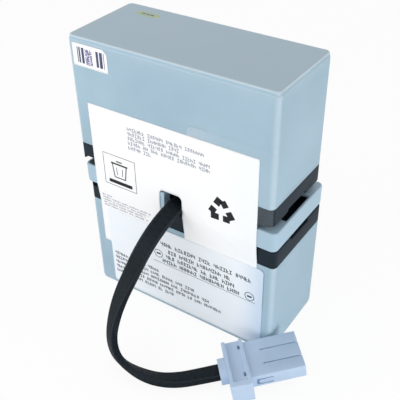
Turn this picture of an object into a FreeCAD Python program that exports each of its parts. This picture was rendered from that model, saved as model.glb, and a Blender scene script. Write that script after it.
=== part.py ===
"""Replacement battery cartridge for an uninterruptible power supply.

Two 12 V sealed lead-acid batteries are stacked lid to lid on a moulded spacer and wired in
series. A sleeved cable leaves a window in the front and ends in a two-pole connector that lies
on the surface beside the cartridge.

Frame, in millimetres: X along the batteries, Y from front to back, Z up. The origin is the
centre of the lower battery's base.
"""

import FreeCAD
import Part
import math
import os

from FreeCAD import Placement, Rotation, Vector

# --- Battery case -----------------------------------------------------------------------------
CASE_LENGTH = 151.0
CASE_DEPTH = 65.0
CASE_CORNER = 4.0  # radius of the upright corners
JAR_HEIGHT = 78.0
JAR_WALL = 2.2
JAR_FLOOR = 2.5
FOOT_HEIGHT = 3.0  # the jar's lowest band, set in a little from the walls
FOOT_INSET = 0.45
FOOT_BEVEL = 1.1
PARTITION = 1.6
CELL_COLUMNS = 3
CELL_ROWS = 2
STRAP_WINDOW = 0.3  # clearance round a strap where it passes a partition

# --- Lid --------------------------------------------------------------------------------------
LID_BAND = 13.0
LID_CAVITY = 5.0  # headroom above each cell
BAND_BEVEL = 0.7
SEAM_BEVEL = 0.4  # makes the fine groove along the heat-sealed seam
PLATEAU_RISE = 3.0
PLATEAU_INSET = 3.5
NOTCH_WIDTH = 24.0  # finger notch in the middle of each short end
NOTCH_DEPTH = 5.5
WELL_LENGTH = 24.0  # terminal wells in the two corners at the -X end
WELL_DEPTH = 14.5
WELL_SINK = 6.0
WELL_END_WALL = 2.0

# --- Valves and their cover -------------------------------------------------------------------
COVER_FROM_END = 17.0
COVER_FROM_WELL = 1.5
COVER_THICKNESS = 2.2
COVER_CLEARANCE = 0.15
COVER_LEDGE = 2.5  # width of the ledge that carries the cover
COVER_BEVEL = 0.3
COVER_VENT = 1.2  # half the width of the gas slots in the cover's long edges
VALVE_POCKET = 5.0  # depth of the pocket under the cover
VENT_HOLE = 2.4  # square hole under each valve
CAP_RADIUS = 4.0
CAP_GAP = 1.0  # between a cap and the pocket's long wall
FLATS_PER_CAP = 12

# --- Plates, separators and straps ------------------------------------------------------------
NEGATIVES_PER_CELL = 4
NEGATIVE_THICKNESS = 2.9
POSITIVES_PER_CELL = 3  # thicker plates, which fill what the negatives and separators leave
SEPARATOR_THICKNESS = 1.0
PLATE_SIDE_GAP = 1.4  # between a plate's side and the cell wall
STACK_GAP = 0.4  # between a cell's outermost plate and the wall
STRAP_HEADROOM = 4.0  # from the straps to the jar's rim
LUG_WIDTH = 5.0
LUG_HEIGHT = 4.0
STRAP_WIDTH = 7.0
STRAP_END_GAP = 1.0
STRAP_HEIGHT = 3.5
BRIDGE_WIDTH = 6.0  # the bar that joins two cells' straps through a partition
POST_WIDTH = 5.0

# --- Terminals --------------------------------------------------------------------------------
TERMINAL_FROM_END = 9.5
TERMINAL_FROM_SIDE = 8.5
TAB_WIDTH = 6.35
TAB_THICKNESS = 0.8
TAB_HEIGHT = 8.0
TAB_NOSE = 1.2  # chamfer of the tab's tip
SEAL_WIDTH = 10.0
SEAL_HEIGHT = 0.8

# --- Spacer and stack -------------------------------------------------------------------------
UPPER_SHIFT_X = -2.6  # the upper battery sits a little askew on the lower one
UPPER_SHIFT_Y = -1.7
SPACER_OVER_LENGTH = 1.6  # how much longer than the case the spacer is
SPACER_OVER_DEPTH = 1.8
SPACER_SHIFT_X = -0.6
SPACER_SHIFT_Y = -0.65
SPACER_RISE = 13.0  # from the lower lid's plateau to the shelf's top
SPACER_SKIRT = 1.0  # how far the outer wall reaches below the plateau
SPACER_WALL = 1.8
SPACER_CORNER = 4.0
SPACER_EDGE = 0.6
SPACER_CHAMFER = 2.6
SHELF_THICKNESS = 1.8
TERMINAL_BAY = 32.5  # from the case's -X end to the shelf
END_BAY = 19.5  # from the shelf to the case's +X end
BAY_FRONT = -17.8  # the open bay at the spacer's +X end
BAY_BACK = 14.0
RIB = 1.6
CHANNEL_RIB_Y = -4.0  # behind the channel that the two leads run in
REAR_RIB_Y = 18.0
CROSS_RIB_X = 15.0
WINDOW_LEFT = -8.3
WINDOW_RIGHT = 8.0
WINDOW_RECESS = 9.0  # how far the shelf is cut back over the cable
PINCH_LEFT = 5.0
PINCH_RIGHT = 9.0
FOAM_THICKNESS = 1.0
FOAM_WIDTH = 14.0
FOAM_LENGTH = 44.0
FOAM_FROM_START = 9.0
FOAM_FROM_END = 18.0

# --- Wires and receptacles --------------------------------------------------------------------
WIRE_RADIUS = 1.6
RECEPTACLE_WALL = 0.45
RECEPTACLE_SLOT = 0.05  # clearance round the tab
RECEPTACLE_GAP = 0.4  # from the seal to the receptacle's mouth
RECEPTACLE_HEIGHT = 8.2
BARREL_WIDTH = 4.0
BARREL_LENGTH = 5.0
FLATS_PER_WIRE = 6  # a wire's section is a polygon with this many sides
LINK_FROM_SHELF = 4.0  # where the link wire changes height
LEAD_BEND_START = 10.0  # a lead bends towards the shelf's channel this far before it
LEAD_BEND_END = 1.0
LEAD_BEND_INWARDS = 0.5
LEAD_SPACING = 3.8  # between the two leads where they enter the sleeve
LEAD_SLOPE_START = 18.0  # before the sleeve, along X
LEAD_SLOPE_END = 6.0
LEAD_SLOPE_INWARDS = 7.0
LEAD_RUN_IN = 4.0  # from the slope's start to the corner that turns into the sleeve
NEGATIVE_BEHIND = 2.0  # how far behind the sleeve's end each lead's slope starts
POSITIVE_BEHIND = 7.4  # the upper lead turns in behind the lower one
NEGATIVE_LOWER = 1.2  # below the sleeve's middle
POSITIVE_UNDER_SHELF = 2.56  # from the shelf's underside to the wire's middle

# --- Cable ------------------------------------------------------------------------------------
CABLE_RADIUS = 4.6
FLATS_PER_CABLE = 8
CABLE_MIDDLE = 1.0
CABLE_INSIDE = 12.05  # how far the sleeve reaches in behind the spacer's front
CABLE_LIFT = 1.1  # between the lower lid and the sleeve
CABLE_STRAIGHT = 17.0  # the level run out through the window
CABLE_BENDS = [
    Vector(-1.5, -54.5, 91.5),
    Vector(-7.0, -64.0, 76.0),
    Vector(-13.5, -66.5, 58.0),
    Vector(-19.0, -72.5, 42.0),
    Vector(-20.5, -81.0, 27.0),
    Vector(-14.5, -91.5, 14.5),
    Vector(-2.0, -98.5, 7.5),
    Vector(12.0, -101.5, 4.7),
    Vector(26.0, -99.0, 4.7),
    Vector(38.0, -90.5, 5.0),
]
CABLE_RUN_IN = 14.0  # the last run, along the connector's axis

# --- Connector, in its own frame: X towards the mating face, Z up from the collar's base ------
CONNECTOR_PLACE_X = 73.3
CONNECTOR_PLACE_Y = -56.4
CONNECTOR_YAW = 42.0
CONNECTOR_PITCH = 8.0  # the stiff cable holds the mating end a little off the surface
HOUSING_LENGTH = 36.0
HOUSING_WIDTH = 31.2
HOUSING_HEIGHT = 10.1
HOUSING_BASE = 4.8
HOUSING_EDGE = 0.7
GROOVE_WIDTH = 0.9
GROOVE_DEPTH = 1.8
GROOVE_START = 10.0
GROOVE_PLACES = (6.0, -5.8)
LATCH_START = 3.2
LATCH_LENGTH = 11.0
LATCH_LOW = 6.6
LATCH_HEIGHT = 5.2
LATCH_SLOT = 0.8
LATCH_DEPTH = 2.6
CONTACT_SLOT_WIDTH = 9.6
CONTACT_SLOT_HEIGHT = 3.6
CONTACT_SLOT_DEPTH = 24.0
CONTACT_PITCH = 15.2
CONTACT_WALL = 0.6
CONTACT_LENGTH = 18.0
CONTACT_CLEARANCE = 0.1
COLLAR_LENGTH = 14.5
COLLAR_LEFT = 18.0
COLLAR_RIGHT = 21.4
COLLAR_HEIGHT = 16.4
COLLAR_EDGE = 0.8
FLANGE = 2.6
CHANNEL_DEPTH = 2.0
CHANNEL_END = 4.4
SNAP_WIDTH = 3.2
SNAP_LENGTH = 1.5
SNAP_DEPTH = 2.4
BOOT_LENGTH = 5.0
BOOT_WIDTH = 17.0
BOOT_HEIGHT = 14.0
BOOT_CORNER = 5.6
BOOT_SOCKET = 3.0
BOOT_CLEARANCE = 0.2

# --- Labels -----------------------------------------------------------------------------------
SHEET = 0.2
SHEET_GAP = 0.05
FILM = 0.1
CARTRIDGE_LABEL_FROM_LEFT = 9.0  # from the lower case's two ends
CARTRIDGE_LABEL_FROM_RIGHT = 13.0
CARTRIDGE_LABEL_BELOW = 52.0  # below and above the lower lid's top
CARTRIDGE_LABEL_ABOVE = 63.5
LABEL_WINDOW_LEFT = -11.5
LABEL_WINDOW_RIGHT = 6.3
LABEL_WINDOW_BELOW = 26.0
LABEL_WINDOW_ABOVE = 15.0
LABEL_WINDOW_CORNER = 3.0
BATTERY_LABEL_FROM_LEFT = 14.5
BATTERY_LABEL_FROM_RIGHT = 7.5
BATTERY_LABEL_FROM_BASE = 3.7
BATTERY_LABEL_FROM_SEAM = 4.0
BATTERY_LABEL_CORNER = 3.0
LAP_START = 1.0  # the lapping label begins to step out this far below the other's edge
LAP_LENGTH = 2.0
FILM_UNDER_LABEL = 51.1
FILM_ABOVE_LABEL = 7.5
FILM_CORNER = 4.0
FILM_WRAP = 55.0  # degrees of the upright corner that the film goes round
BARCODE_LENGTH = 27.8
BARCODE_HEIGHT = 15.5
BARCODE_FROM_END = 4.3
BARCODE_FROM_TOP = 4.0
BARCODE_CLIP = 3.0

# --- Worked out from the sizes above ----------------------------------------------------------
CELL_LENGTH = (CASE_LENGTH - 2 * JAR_WALL - (CELL_COLUMNS - 1) * PARTITION) / CELL_COLUMNS
CELL_DEPTH = (CASE_DEPTH - 2 * JAR_WALL - (CELL_ROWS - 1) * PARTITION) / CELL_ROWS
STACKED_SEPARATORS = NEGATIVES_PER_CELL + POSITIVES_PER_CELL - 1
NEGATIVE_STACK = NEGATIVES_PER_CELL * NEGATIVE_THICKNESS
POSITIVE_STACK = (
    CELL_DEPTH - 2 * STACK_GAP - NEGATIVE_STACK - STACKED_SEPARATORS * SEPARATOR_THICKNESS
)
POSITIVE_THICKNESS = POSITIVE_STACK / POSITIVES_PER_CELL
PLATE_WIDTH = CELL_LENGTH - 2 * PLATE_SIDE_GAP
STRAP_BASE = JAR_HEIGHT - STRAP_HEADROOM - STRAP_HEIGHT
PLATE_BASE = JAR_FLOOR + SEPARATOR_THICKNESS
PLATE_TOP = STRAP_BASE - LUG_HEIGHT
BAND_TOP = JAR_HEIGHT + LID_BAND
LID_TOP = BAND_TOP + PLATEAU_RISE
WELL_FLOOR = LID_TOP - WELL_SINK
COVER_LENGTH = CASE_LENGTH - 2 * COVER_FROM_END
COVER_DEPTH = CASE_DEPTH - 2 * (WELL_DEPTH + COVER_FROM_WELL)
COVER_SEAT = LID_TOP - COVER_THICKNESS
VALVE_Y = COVER_DEPTH / 2 - COVER_LEDGE - CAP_GAP - CAP_RADIUS
VALVE_FLOOR = COVER_SEAT - VALVE_POCKET
SHELF_TOP = LID_TOP + SPACER_RISE
SHELF_UNDERSIDE = SHELF_TOP - SHELF_THICKNESS
UPPER_LID_TOP = SHELF_TOP + FOAM_THICKNESS
STACK_HEIGHT = UPPER_LID_TOP + LID_TOP
TERMINAL_X = -CASE_LENGTH / 2 + TERMINAL_FROM_END
TERMINAL_Y = CASE_DEPTH / 2 - TERMINAL_FROM_SIDE
LOWER_FRONT = -CASE_DEPTH / 2
UPPER_FRONT = LOWER_FRONT + UPPER_SHIFT_Y
SPACER_LENGTH = CASE_LENGTH + SPACER_OVER_LENGTH
SPACER_DEPTH = CASE_DEPTH + SPACER_OVER_DEPTH
SPACER_FRONT = SPACER_SHIFT_Y - SPACER_DEPTH / 2
SHELF_START = -CASE_LENGTH / 2 + TERMINAL_BAY
SHELF_END = CASE_LENGTH / 2 - END_BAY
LUG_OFFSET = (PLATE_WIDTH - LUG_WIDTH) / 2
RECEPTACLE_LOW = WELL_FLOOR + SEAL_HEIGHT + RECEPTACLE_GAP
RECEPTACLE_REACH = TAB_WIDTH / 2 + RECEPTACLE_SLOT + RECEPTACLE_WALL
BARREL_HEIGHT = RECEPTACLE_LOW + RECEPTACLE_HEIGHT - WIRE_RADIUS
CABLE_START = Vector(
    CABLE_MIDDLE, SPACER_FRONT + CABLE_INSIDE, LID_TOP + CABLE_LIFT + CABLE_RADIUS
)
CARTRIDGE_LABEL_LEFT = -CASE_LENGTH / 2 + CARTRIDGE_LABEL_FROM_LEFT
CARTRIDGE_LABEL_RIGHT = CASE_LENGTH / 2 - CARTRIDGE_LABEL_FROM_RIGHT
CARTRIDGE_LABEL_LOW = LID_TOP - CARTRIDGE_LABEL_BELOW
CARTRIDGE_LABEL_HIGH = LID_TOP + CARTRIDGE_LABEL_ABOVE
BATTERY_LABEL_LEFT = -CASE_LENGTH / 2 + BATTERY_LABEL_FROM_LEFT
BATTERY_LABEL_RIGHT = CASE_LENGTH / 2 - BATTERY_LABEL_FROM_RIGHT
BATTERY_LABEL_HIGH = JAR_HEIGHT - BATTERY_LABEL_FROM_SEAM
FILM_LEFT = CARTRIDGE_LABEL_RIGHT - FILM_UNDER_LABEL
FILM_HIGH = CARTRIDGE_LABEL_HIGH + FILM_ABOVE_LABEL
BARCODE_LEFT = UPPER_SHIFT_X - CASE_LENGTH / 2 + BARCODE_FROM_END
BARCODE_RIGHT = BARCODE_LEFT + BARCODE_LENGTH
BARCODE_HIGH = STACK_HEIGHT - BARCODE_FROM_TOP
BARCODE_LOW = BARCODE_HIGH - BARCODE_HEIGHT


# --- Helpers ----------------------------------------------------------------------------------
def block(x, y, z):
    """Return a box between two limits on each axis."""
    return Part.makeBox(x[1] - x[0], y[1] - y[0], z[1] - z[0], Vector(x[0], y[0], z[0]))


def centred_block(length, depth, z, centre=(0.0, 0.0)):
    """Return a box between two heights, centred on a point."""
    x, y = centre
    return block((x - length / 2, x + length / 2), (y - depth / 2, y + depth / 2), z)


def rounded_block(length, depth, z, corner, centre=(0.0, 0.0)):
    """Return a box with rounded upright corners, centred on a point."""
    body = centred_block(length, depth, z, centre)
    upright = [e for e in body.Edges if abs(e.tangentAt(e.FirstParameter).z) > 0.99]
    return body.makeFillet(corner, upright)


def edges_at(shape, height):
    """Return the edges that lie level at one height."""
    return [
        edge
        for edge in shape.Edges
        if abs(edge.BoundBox.ZMin - height) < 1e-4 and abs(edge.BoundBox.ZMax - height) < 1e-4
    ]


def joined(shapes):
    """Return one solid fused from shapes that touch or overlap."""
    whole = shapes[0].fuse(shapes[1:]) if len(shapes) > 1 else shapes[0]
    return whole.removeSplitter()


def corner_arc(before, point, after):
    """Return the tangent arc at a bend of a route, as its start, middle, end and radius."""
    back = before.sub(point)
    ahead = after.sub(point)
    reach = 0.45 * min(back.Length, ahead.Length)
    back.normalize()
    ahead.normalize()
    half_turn = (math.pi - back.getAngle(ahead)) / 2
    radius = reach / math.tan(half_turn)
    inward = back.add(ahead)
    inward.normalize()
    to_centre = math.hypot(radius, reach)
    middle = point.add(inward * (to_centre - radius))
    return point.add(back * reach), middle, point.add(ahead * reach), radius


def polygon_section(centre, heading, radius, flats):
    """Return a regular polygon across a heading, with its corners at one radius."""
    upright = abs(heading.z) > 0.9 * heading.Length
    across = heading.cross(Vector(0, 1, 0) if upright else Vector(0, 0, 1))
    across.normalize()
    other = heading.cross(across)
    other.normalize()
    corners = []
    for index in range(flats + 1):
        angle = 2 * math.pi * (index + 0.5) / flats
        side = across * (radius * math.cos(angle))
        corners.append(centre.add(side).add(other * (radius * math.sin(angle))))
    return Part.makePolygon(corners)


def tube(route, radius, flats):
    """Return a tube along straight runs joined by tangent arcs, the arcs' radii and its length."""
    edges = []
    radii = []
    place = route[0]
    for before, point, after in zip(route, route[1:], route[2:]):
        start, middle, end, bend = corner_arc(before, point, after)
        edges.append(Part.LineSegment(place, start).toShape())
        edges.append(Part.Arc(start, middle, end).toShape())
        radii.append(bend)
        place = end
    edges.append(Part.LineSegment(place, route[-1]).toShape())
    path = Part.Wire(edges)
    section = polygon_section(route[0], route[1].sub(route[0]), radius, flats)
    solid = path.makePipeShell([section], True, False)
    expected = Part.Face(section).Area * path.Length
    if abs(solid.Volume - expected) > 0.001 * expected:
        raise ValueError("a tube's volume doesn't match its section and length")
    return solid, radii, path.Length


def as_upper(shape):
    """Turn a lower battery's piece over and set it on the spacer."""
    turned = shape.copy()
    flip = Rotation(Vector(1, 0, 0), 180)
    turned.Placement = Placement(Vector(UPPER_SHIFT_X, UPPER_SHIFT_Y, STACK_HEIGHT), flip)
    return turned


# --- Battery ----------------------------------------------------------------------------------
def cell_centres():
    """Return each cell's column, row and centre."""
    cells = []
    for column in range(CELL_COLUMNS):
        for row in range(CELL_ROWS):
            x = (column - (CELL_COLUMNS - 1) / 2) * (CELL_LENGTH + PARTITION)
            y = (row - (CELL_ROWS - 1) / 2) * (CELL_DEPTH + PARTITION)
            cells.append((column, row, x, y))
    return cells


def cell_space(x, y, z):
    """Return the space of one cell between two heights."""
    half_x, half_y = CELL_LENGTH / 2, CELL_DEPTH / 2
    return block((x - half_x, x + half_x), (y - half_y, y + half_y), z)


def bridges():
    """Return the bars that carry current from cell to cell, as limits on X and Y."""
    bars = []
    half = BRIDGE_WIDTH / 2
    reach = (CELL_LENGTH + PARTITION) / 2 - LUG_OFFSET
    for row in range(CELL_ROWS):
        y = (row - (CELL_ROWS - 1) / 2) * (CELL_DEPTH + PARTITION)
        for gap in range(CELL_COLUMNS - 1):
            x = (gap - (CELL_COLUMNS - 2) / 2) * (CELL_LENGTH + PARTITION)
            bars.append(((x - reach, x + reach), (y - half, y + half)))
    last = (CELL_COLUMNS - 1) / 2 * (CELL_LENGTH + PARTITION) + LUG_OFFSET
    bars.append(((last - half, last + half), (-CELL_DEPTH / 2, CELL_DEPTH / 2)))
    return bars


def jar():
    """Return the moulded jar: outer walls, foot and six cells."""
    foot = rounded_block(
        CASE_LENGTH - 2 * FOOT_INSET,
        CASE_DEPTH - 2 * FOOT_INSET,
        (0, FOOT_HEIGHT),
        CASE_CORNER - FOOT_INSET,
    )
    foot = foot.makeChamfer(FOOT_BEVEL, edges_at(foot, 0))
    walls = rounded_block(CASE_LENGTH, CASE_DEPTH, (FOOT_HEIGHT, JAR_HEIGHT), CASE_CORNER)
    body = joined([foot, walls])
    for _, _, x, y in cell_centres():
        body = body.cut(cell_space(x, y, (JAR_FLOOR, JAR_HEIGHT)))
    for x, y in bridges():
        wide_x = (x[0] - STRAP_WINDOW, x[1] + STRAP_WINDOW)
        wide_y = (y[0] - STRAP_WINDOW, y[1] + STRAP_WINDOW)
        z = (STRAP_BASE - STRAP_WINDOW, STRAP_BASE + STRAP_HEIGHT + STRAP_WINDOW)
        body = body.cut(block(wide_x, wide_y, z))
    return body


def lid():
    """Return the lid: band, plateau, valve pocket, terminal wells and finger notches."""
    band = rounded_block(CASE_LENGTH, CASE_DEPTH, (JAR_HEIGHT, BAND_TOP), CASE_CORNER)
    band = band.makeChamfer(BAND_BEVEL, edges_at(band, BAND_TOP))
    band = band.makeChamfer(SEAM_BEVEL, edges_at(band, JAR_HEIGHT))
    plateau = rounded_block(
        CASE_LENGTH - 2 * PLATEAU_INSET,
        CASE_DEPTH - 2 * PLATEAU_INSET,
        (BAND_TOP, LID_TOP),
        CASE_CORNER - BAND_BEVEL,
    )
    body = joined([band, plateau])
    for _, _, x, y in cell_centres():
        body = body.cut(cell_space(x, y, (JAR_HEIGHT, JAR_HEIGHT + LID_CAVITY)))
    body = body.cut(centred_block(COVER_LENGTH, COVER_DEPTH, (COVER_SEAT, LID_TOP)))
    pocket = (COVER_LENGTH - 2 * COVER_LEDGE, COVER_DEPTH - 2 * COVER_LEDGE)
    body = body.cut(centred_block(*pocket, (VALVE_FLOOR, COVER_SEAT)))
    for x, y in valve_places():
        body = body.cut(square_post(x, y, VENT_HOLE, (JAR_HEIGHT, VALVE_FLOOR)))
    for side in (-1, 1):
        body = body.cut(terminal_well(side))
        body = body.cut(end_notch(side))
        place = (TERMINAL_X, side * TERMINAL_Y)
        body = body.cut(square_post(*place, POST_WIDTH, (JAR_HEIGHT, WELL_FLOOR)))
    return body.removeSplitter()


def square_post(x, y, width, z):
    """Return an upright square bar between two heights."""
    half = width / 2
    return block((x - half, x + half), (y - half, y + half), z)


def terminal_well(side):
    """Return the space of one terminal well, open at the top and at the long side."""
    start = -CASE_LENGTH / 2 + WELL_END_WALL
    outer = side * CASE_DEPTH / 2
    inner = side * (CASE_DEPTH / 2 - WELL_DEPTH)
    return block(
        (start, start + WELL_LENGTH), sorted((outer, inner)), (WELL_FLOOR, LID_TOP)
    )


def end_notch(side):
    """Return the space of the finger notch in one short end."""
    outer = side * CASE_LENGTH / 2
    inner = side * (CASE_LENGTH / 2 - PLATEAU_INSET)
    return block(
        sorted((outer, inner)),
        (-NOTCH_WIDTH / 2, NOTCH_WIDTH / 2),
        (LID_TOP - NOTCH_DEPTH, LID_TOP),
    )


def valve_places():
    """Return where the valves stand, one for each cell."""
    return [
        ((column - (CELL_COLUMNS - 1) / 2) * (CELL_LENGTH + PARTITION), side * VALVE_Y)
        for column in range(CELL_COLUMNS)
        for side in (-1, 1)
    ]


def valve_caps():
    """Return the rubber caps that close the vent holes, held down by the cover."""
    rise = Vector(0, 0, COVER_SEAT - VALVE_FLOOR)
    caps = []
    for x, y in valve_places():
        rim = polygon_section(Vector(x, y, VALVE_FLOOR), rise, CAP_RADIUS, FLATS_PER_CAP)
        caps.append(Part.Face(rim).extrude(rise))
    return caps


def vent_cover():
    """Return the cover plate over the valves, with gas slots in its long edges."""
    length = COVER_LENGTH - 2 * COVER_CLEARANCE
    depth = COVER_DEPTH - 2 * COVER_CLEARANCE
    plate = centred_block(length, depth, (COVER_SEAT, LID_TOP))
    plate = plate.makeChamfer(COVER_BEVEL, edges_at(plate, LID_TOP))
    for x in (-length / 4, length / 4):
        for side in (-1, 1):
            edge = side * depth / 2
            inner = side * (depth / 2 - COVER_VENT)
            gap = (x - COVER_VENT, x + COVER_VENT)
            plate = plate.cut(block(gap, sorted((edge, inner)), (COVER_SEAT, LID_TOP)))
    return plate


def stack_places(count, other, thickness, other_thickness):
    """Return where each plate of one kind starts, across a cell's stack."""
    total = count * thickness + other * other_thickness
    total += (count + other - 1) * SEPARATOR_THICKNESS
    pitch = thickness + other_thickness + 2 * SEPARATOR_THICKNESS
    first = -total / 2
    if count < other:
        first += other_thickness + SEPARATOR_THICKNESS
    return [first + index * pitch for index in range(count)]


def plates(positive):
    """Return the plates of one polarity in all six cells, each with its lug."""
    negative_set = (NEGATIVES_PER_CELL, NEGATIVE_THICKNESS)
    positive_set = (POSITIVES_PER_CELL, POSITIVE_THICKNESS)
    mine, other = (positive_set, negative_set) if positive else (negative_set, positive_set)
    made = []
    for _, row, x, y in cell_centres():
        lug_side = 1 if positive == (row == 0) else -1
        lug_x = x + lug_side * LUG_OFFSET
        for start in stack_places(mine[0], other[0], mine[1], other[1]):
            span = (y + start, y + start + mine[1])
            grid = block((x - PLATE_WIDTH / 2, x + PLATE_WIDTH / 2), span, (PLATE_BASE, PLATE_TOP))
            lug_span = (lug_x - LUG_WIDTH / 2, lug_x + LUG_WIDTH / 2)
            lug = block(lug_span, span, (PLATE_TOP, STRAP_BASE))
            made.append(joined([grid, lug]))
    return made


def separators():
    """Return the glass-fibre mats, one folded up round each positive plate."""
    starts = stack_places(
        POSITIVES_PER_CELL, NEGATIVES_PER_CELL, POSITIVE_THICKNESS, NEGATIVE_THICKNESS
    )
    mats = []
    for _, _, x, y in cell_centres():
        across = (x - PLATE_WIDTH / 2, x + PLATE_WIDTH / 2)
        for start in starts:
            inner = (y + start, y + start + POSITIVE_THICKNESS)
            outer = (inner[0] - SEPARATOR_THICKNESS, inner[1] + SEPARATOR_THICKNESS)
            fold = block(across, outer, (JAR_FLOOR, PLATE_TOP))
            mats.append(fold.cut(block(across, inner, (PLATE_BASE, PLATE_TOP))))
    return mats


def cell_straps():
    """Return the cast lead straps: five that join cells and two that rise to the terminals."""
    z = (STRAP_BASE, STRAP_BASE + STRAP_HEIGHT)
    half_depth = CELL_DEPTH / 2 - STRAP_END_GAP
    half_width = STRAP_WIDTH / 2
    bars = {}
    for column, row, x, y in cell_centres():
        for side in (-1, 1):
            middle = x + side * LUG_OFFSET
            bars[column, row, side] = block(
                (middle - half_width, middle + half_width), (y - half_depth, y + half_depth), z
            )
    ties = [block(x, y, z) for x, y in bridges()]
    straps = []
    index = 0
    for row in range(CELL_ROWS):
        for gap in range(CELL_COLUMNS - 1):
            pair = [bars[gap, row, 1], bars[gap + 1, row, -1]]
            straps.append(joined(pair + [ties[index]]))
            index += 1
    last = CELL_COLUMNS - 1
    straps.append(joined([bars[last, 0, 1], bars[last, 1, 1], ties[index]]))
    for row, side in ((0, -1), (1, 1)):
        x, y = TERMINAL_X, side * TERMINAL_Y
        post = square_post(x, y, POST_WIDTH, (STRAP_BASE, WELL_FLOOR))
        straps.append(joined([bars[0, row, -1], post]))
    return straps


def terminal(side):
    """Return one terminal tab standing on its post in the well."""
    x, y = TERMINAL_X, side * TERMINAL_Y
    half = TAB_THICKNESS / 2
    blade = block(
        (x - TAB_WIDTH / 2, x + TAB_WIDTH / 2),
        (y - half, y + half),
        (WELL_FLOOR, WELL_FLOOR + TAB_HEIGHT),
    )
    tip = [
        e
        for e in edges_at(blade, WELL_FLOOR + TAB_HEIGHT)
        if abs(e.tangentAt(e.FirstParameter).y) > 0.99
    ]
    return blade.makeChamfer(TAB_NOSE, tip)


def terminal_seals():
    """Return the resin seals that the tabs stand in."""
    seals = []
    for side in (-1, 1):
        z = (WELL_FLOOR, WELL_FLOOR + SEAL_HEIGHT)
        pot = square_post(TERMINAL_X, side * TERMINAL_Y, SEAL_WIDTH, z)
        seals.append(pot.cut(terminal(side)))
    return seals


def receptacle(side):
    """Return a flag receptacle pushed over one tab, its wire barrel towards +X."""
    x, y = TERMINAL_X, side * TERMINAL_Y
    half_y = TAB_THICKNESS / 2 + RECEPTACLE_SLOT + RECEPTACLE_WALL
    inner_x = RECEPTACLE_REACH - RECEPTACLE_WALL
    inner_y = half_y - RECEPTACLE_WALL
    z = (RECEPTACLE_LOW, RECEPTACLE_LOW + RECEPTACLE_HEIGHT)
    shell = block((x - RECEPTACLE_REACH, x + RECEPTACLE_REACH), (y - half_y, y + half_y), z)
    slot = block((x - inner_x, x + inner_x), (y - inner_y, y + inner_y), z)
    barrel = block(
        (x + RECEPTACLE_REACH, x + RECEPTACLE_REACH + BARREL_LENGTH),
        (y - BARREL_WIDTH / 2, y + BARREL_WIDTH / 2),
        (z[1] - BARREL_WIDTH, z[1]),
    )
    return joined([shell.cut(slot), barrel])


def wire_start(side, upper):
    """Return where a wire leaves its receptacle's barrel."""
    x = TERMINAL_X + RECEPTACLE_REACH + BARREL_LENGTH
    place = Vector(x, side * TERMINAL_Y, BARREL_HEIGHT)
    if not upper:
        return place
    return Vector(place.x + UPPER_SHIFT_X, UPPER_SHIFT_Y - place.y, STACK_HEIGHT - place.z)


# --- Spacer -----------------------------------------------------------------------------------
def spacer():
    """Return the moulded spacer: skirted outer wall, shelf, ribs, bays and cable window."""
    centre = (SPACER_SHIFT_X, SPACER_SHIFT_Y)
    left = SPACER_SHIFT_X - SPACER_LENGTH / 2
    right = SPACER_SHIFT_X + SPACER_LENGTH / 2
    front = SPACER_FRONT
    back = SPACER_SHIFT_Y + SPACER_DEPTH / 2
    low = LID_TOP - SPACER_SKIRT
    outer = rounded_block(SPACER_LENGTH, SPACER_DEPTH, (low, SHELF_TOP), SPACER_CORNER, centre)
    outer = outer.makeChamfer(SPACER_EDGE, edges_at(outer, SHELF_TOP))
    inside = rounded_block(
        SPACER_LENGTH - 2 * SPACER_WALL,
        SPACER_DEPTH - 2 * SPACER_WALL,
        (low, SHELF_TOP),
        SPACER_CORNER - SPACER_WALL,
        centre,
    )
    wall = outer.cut(inside)
    wall_front = front + SPACER_WALL
    wall_back = back - SPACER_WALL
    wall_right = right - SPACER_WALL
    shelf_z = (SHELF_UNDERSIDE, SHELF_TOP)
    rib_z = (LID_TOP, SHELF_UNDERSIDE)
    pieces = [
        wall,
        block((SHELF_START, SHELF_END), (wall_front, wall_back), shelf_z),
        block((SHELF_END, wall_right), (wall_front, BAY_FRONT), shelf_z),
        block((SHELF_END, wall_right), (BAY_BACK, wall_back), shelf_z),
        block((SHELF_START, SHELF_END), (CHANNEL_RIB_Y, CHANNEL_RIB_Y + RIB), rib_z),
        block((SHELF_START, SHELF_END), (REAR_RIB_Y, REAR_RIB_Y + RIB), rib_z),
        block((SHELF_START, SHELF_START + RIB), (CHANNEL_RIB_Y, wall_back), rib_z),
        block((CROSS_RIB_X, CROSS_RIB_X + RIB), (wall_front, wall_back), rib_z),
        block((SHELF_END - RIB, SHELF_END), (wall_front, wall_back), rib_z),
        block((WINDOW_LEFT - RIB, WINDOW_LEFT), (wall_front, wall_front + PINCH_LEFT), rib_z),
        block((WINDOW_RIGHT, WINDOW_RIGHT + RIB), (wall_front, wall_front + PINCH_RIGHT), rib_z),
    ]
    body = joined(pieces)
    window_y = (front, wall_front + WINDOW_RECESS)
    body = body.cut(block((WINDOW_LEFT, WINDOW_RIGHT), window_y, (low, SHELF_TOP)))
    return body.cut(skirt_chamfer(left, low, front, back)).removeSplitter()


def skirt_chamfer(left, low, front, back):
    """Return the wedge that bevels the wall's lower edge at the -X end."""
    corners = [
        Vector(left, front, low),
        Vector(left + SPACER_CHAMFER, front, low),
        Vector(left, front, low + SPACER_CHAMFER),
        Vector(left, front, low),
    ]
    return Part.Face(Part.makePolygon(corners)).extrude(Vector(0, back - front, 0))


def foam_pads():
    """Return the adhesive foam pads between the shelf and the upper lid."""
    return [
        block(
            (x - FOAM_WIDTH / 2, x + FOAM_WIDTH / 2),
            (-FOAM_LENGTH / 2, FOAM_LENGTH / 2),
            (SHELF_TOP, UPPER_LID_TOP),
        )
        for x in (SHELF_START + FOAM_FROM_START, SHELF_END - FOAM_FROM_END)
    ]


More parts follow.
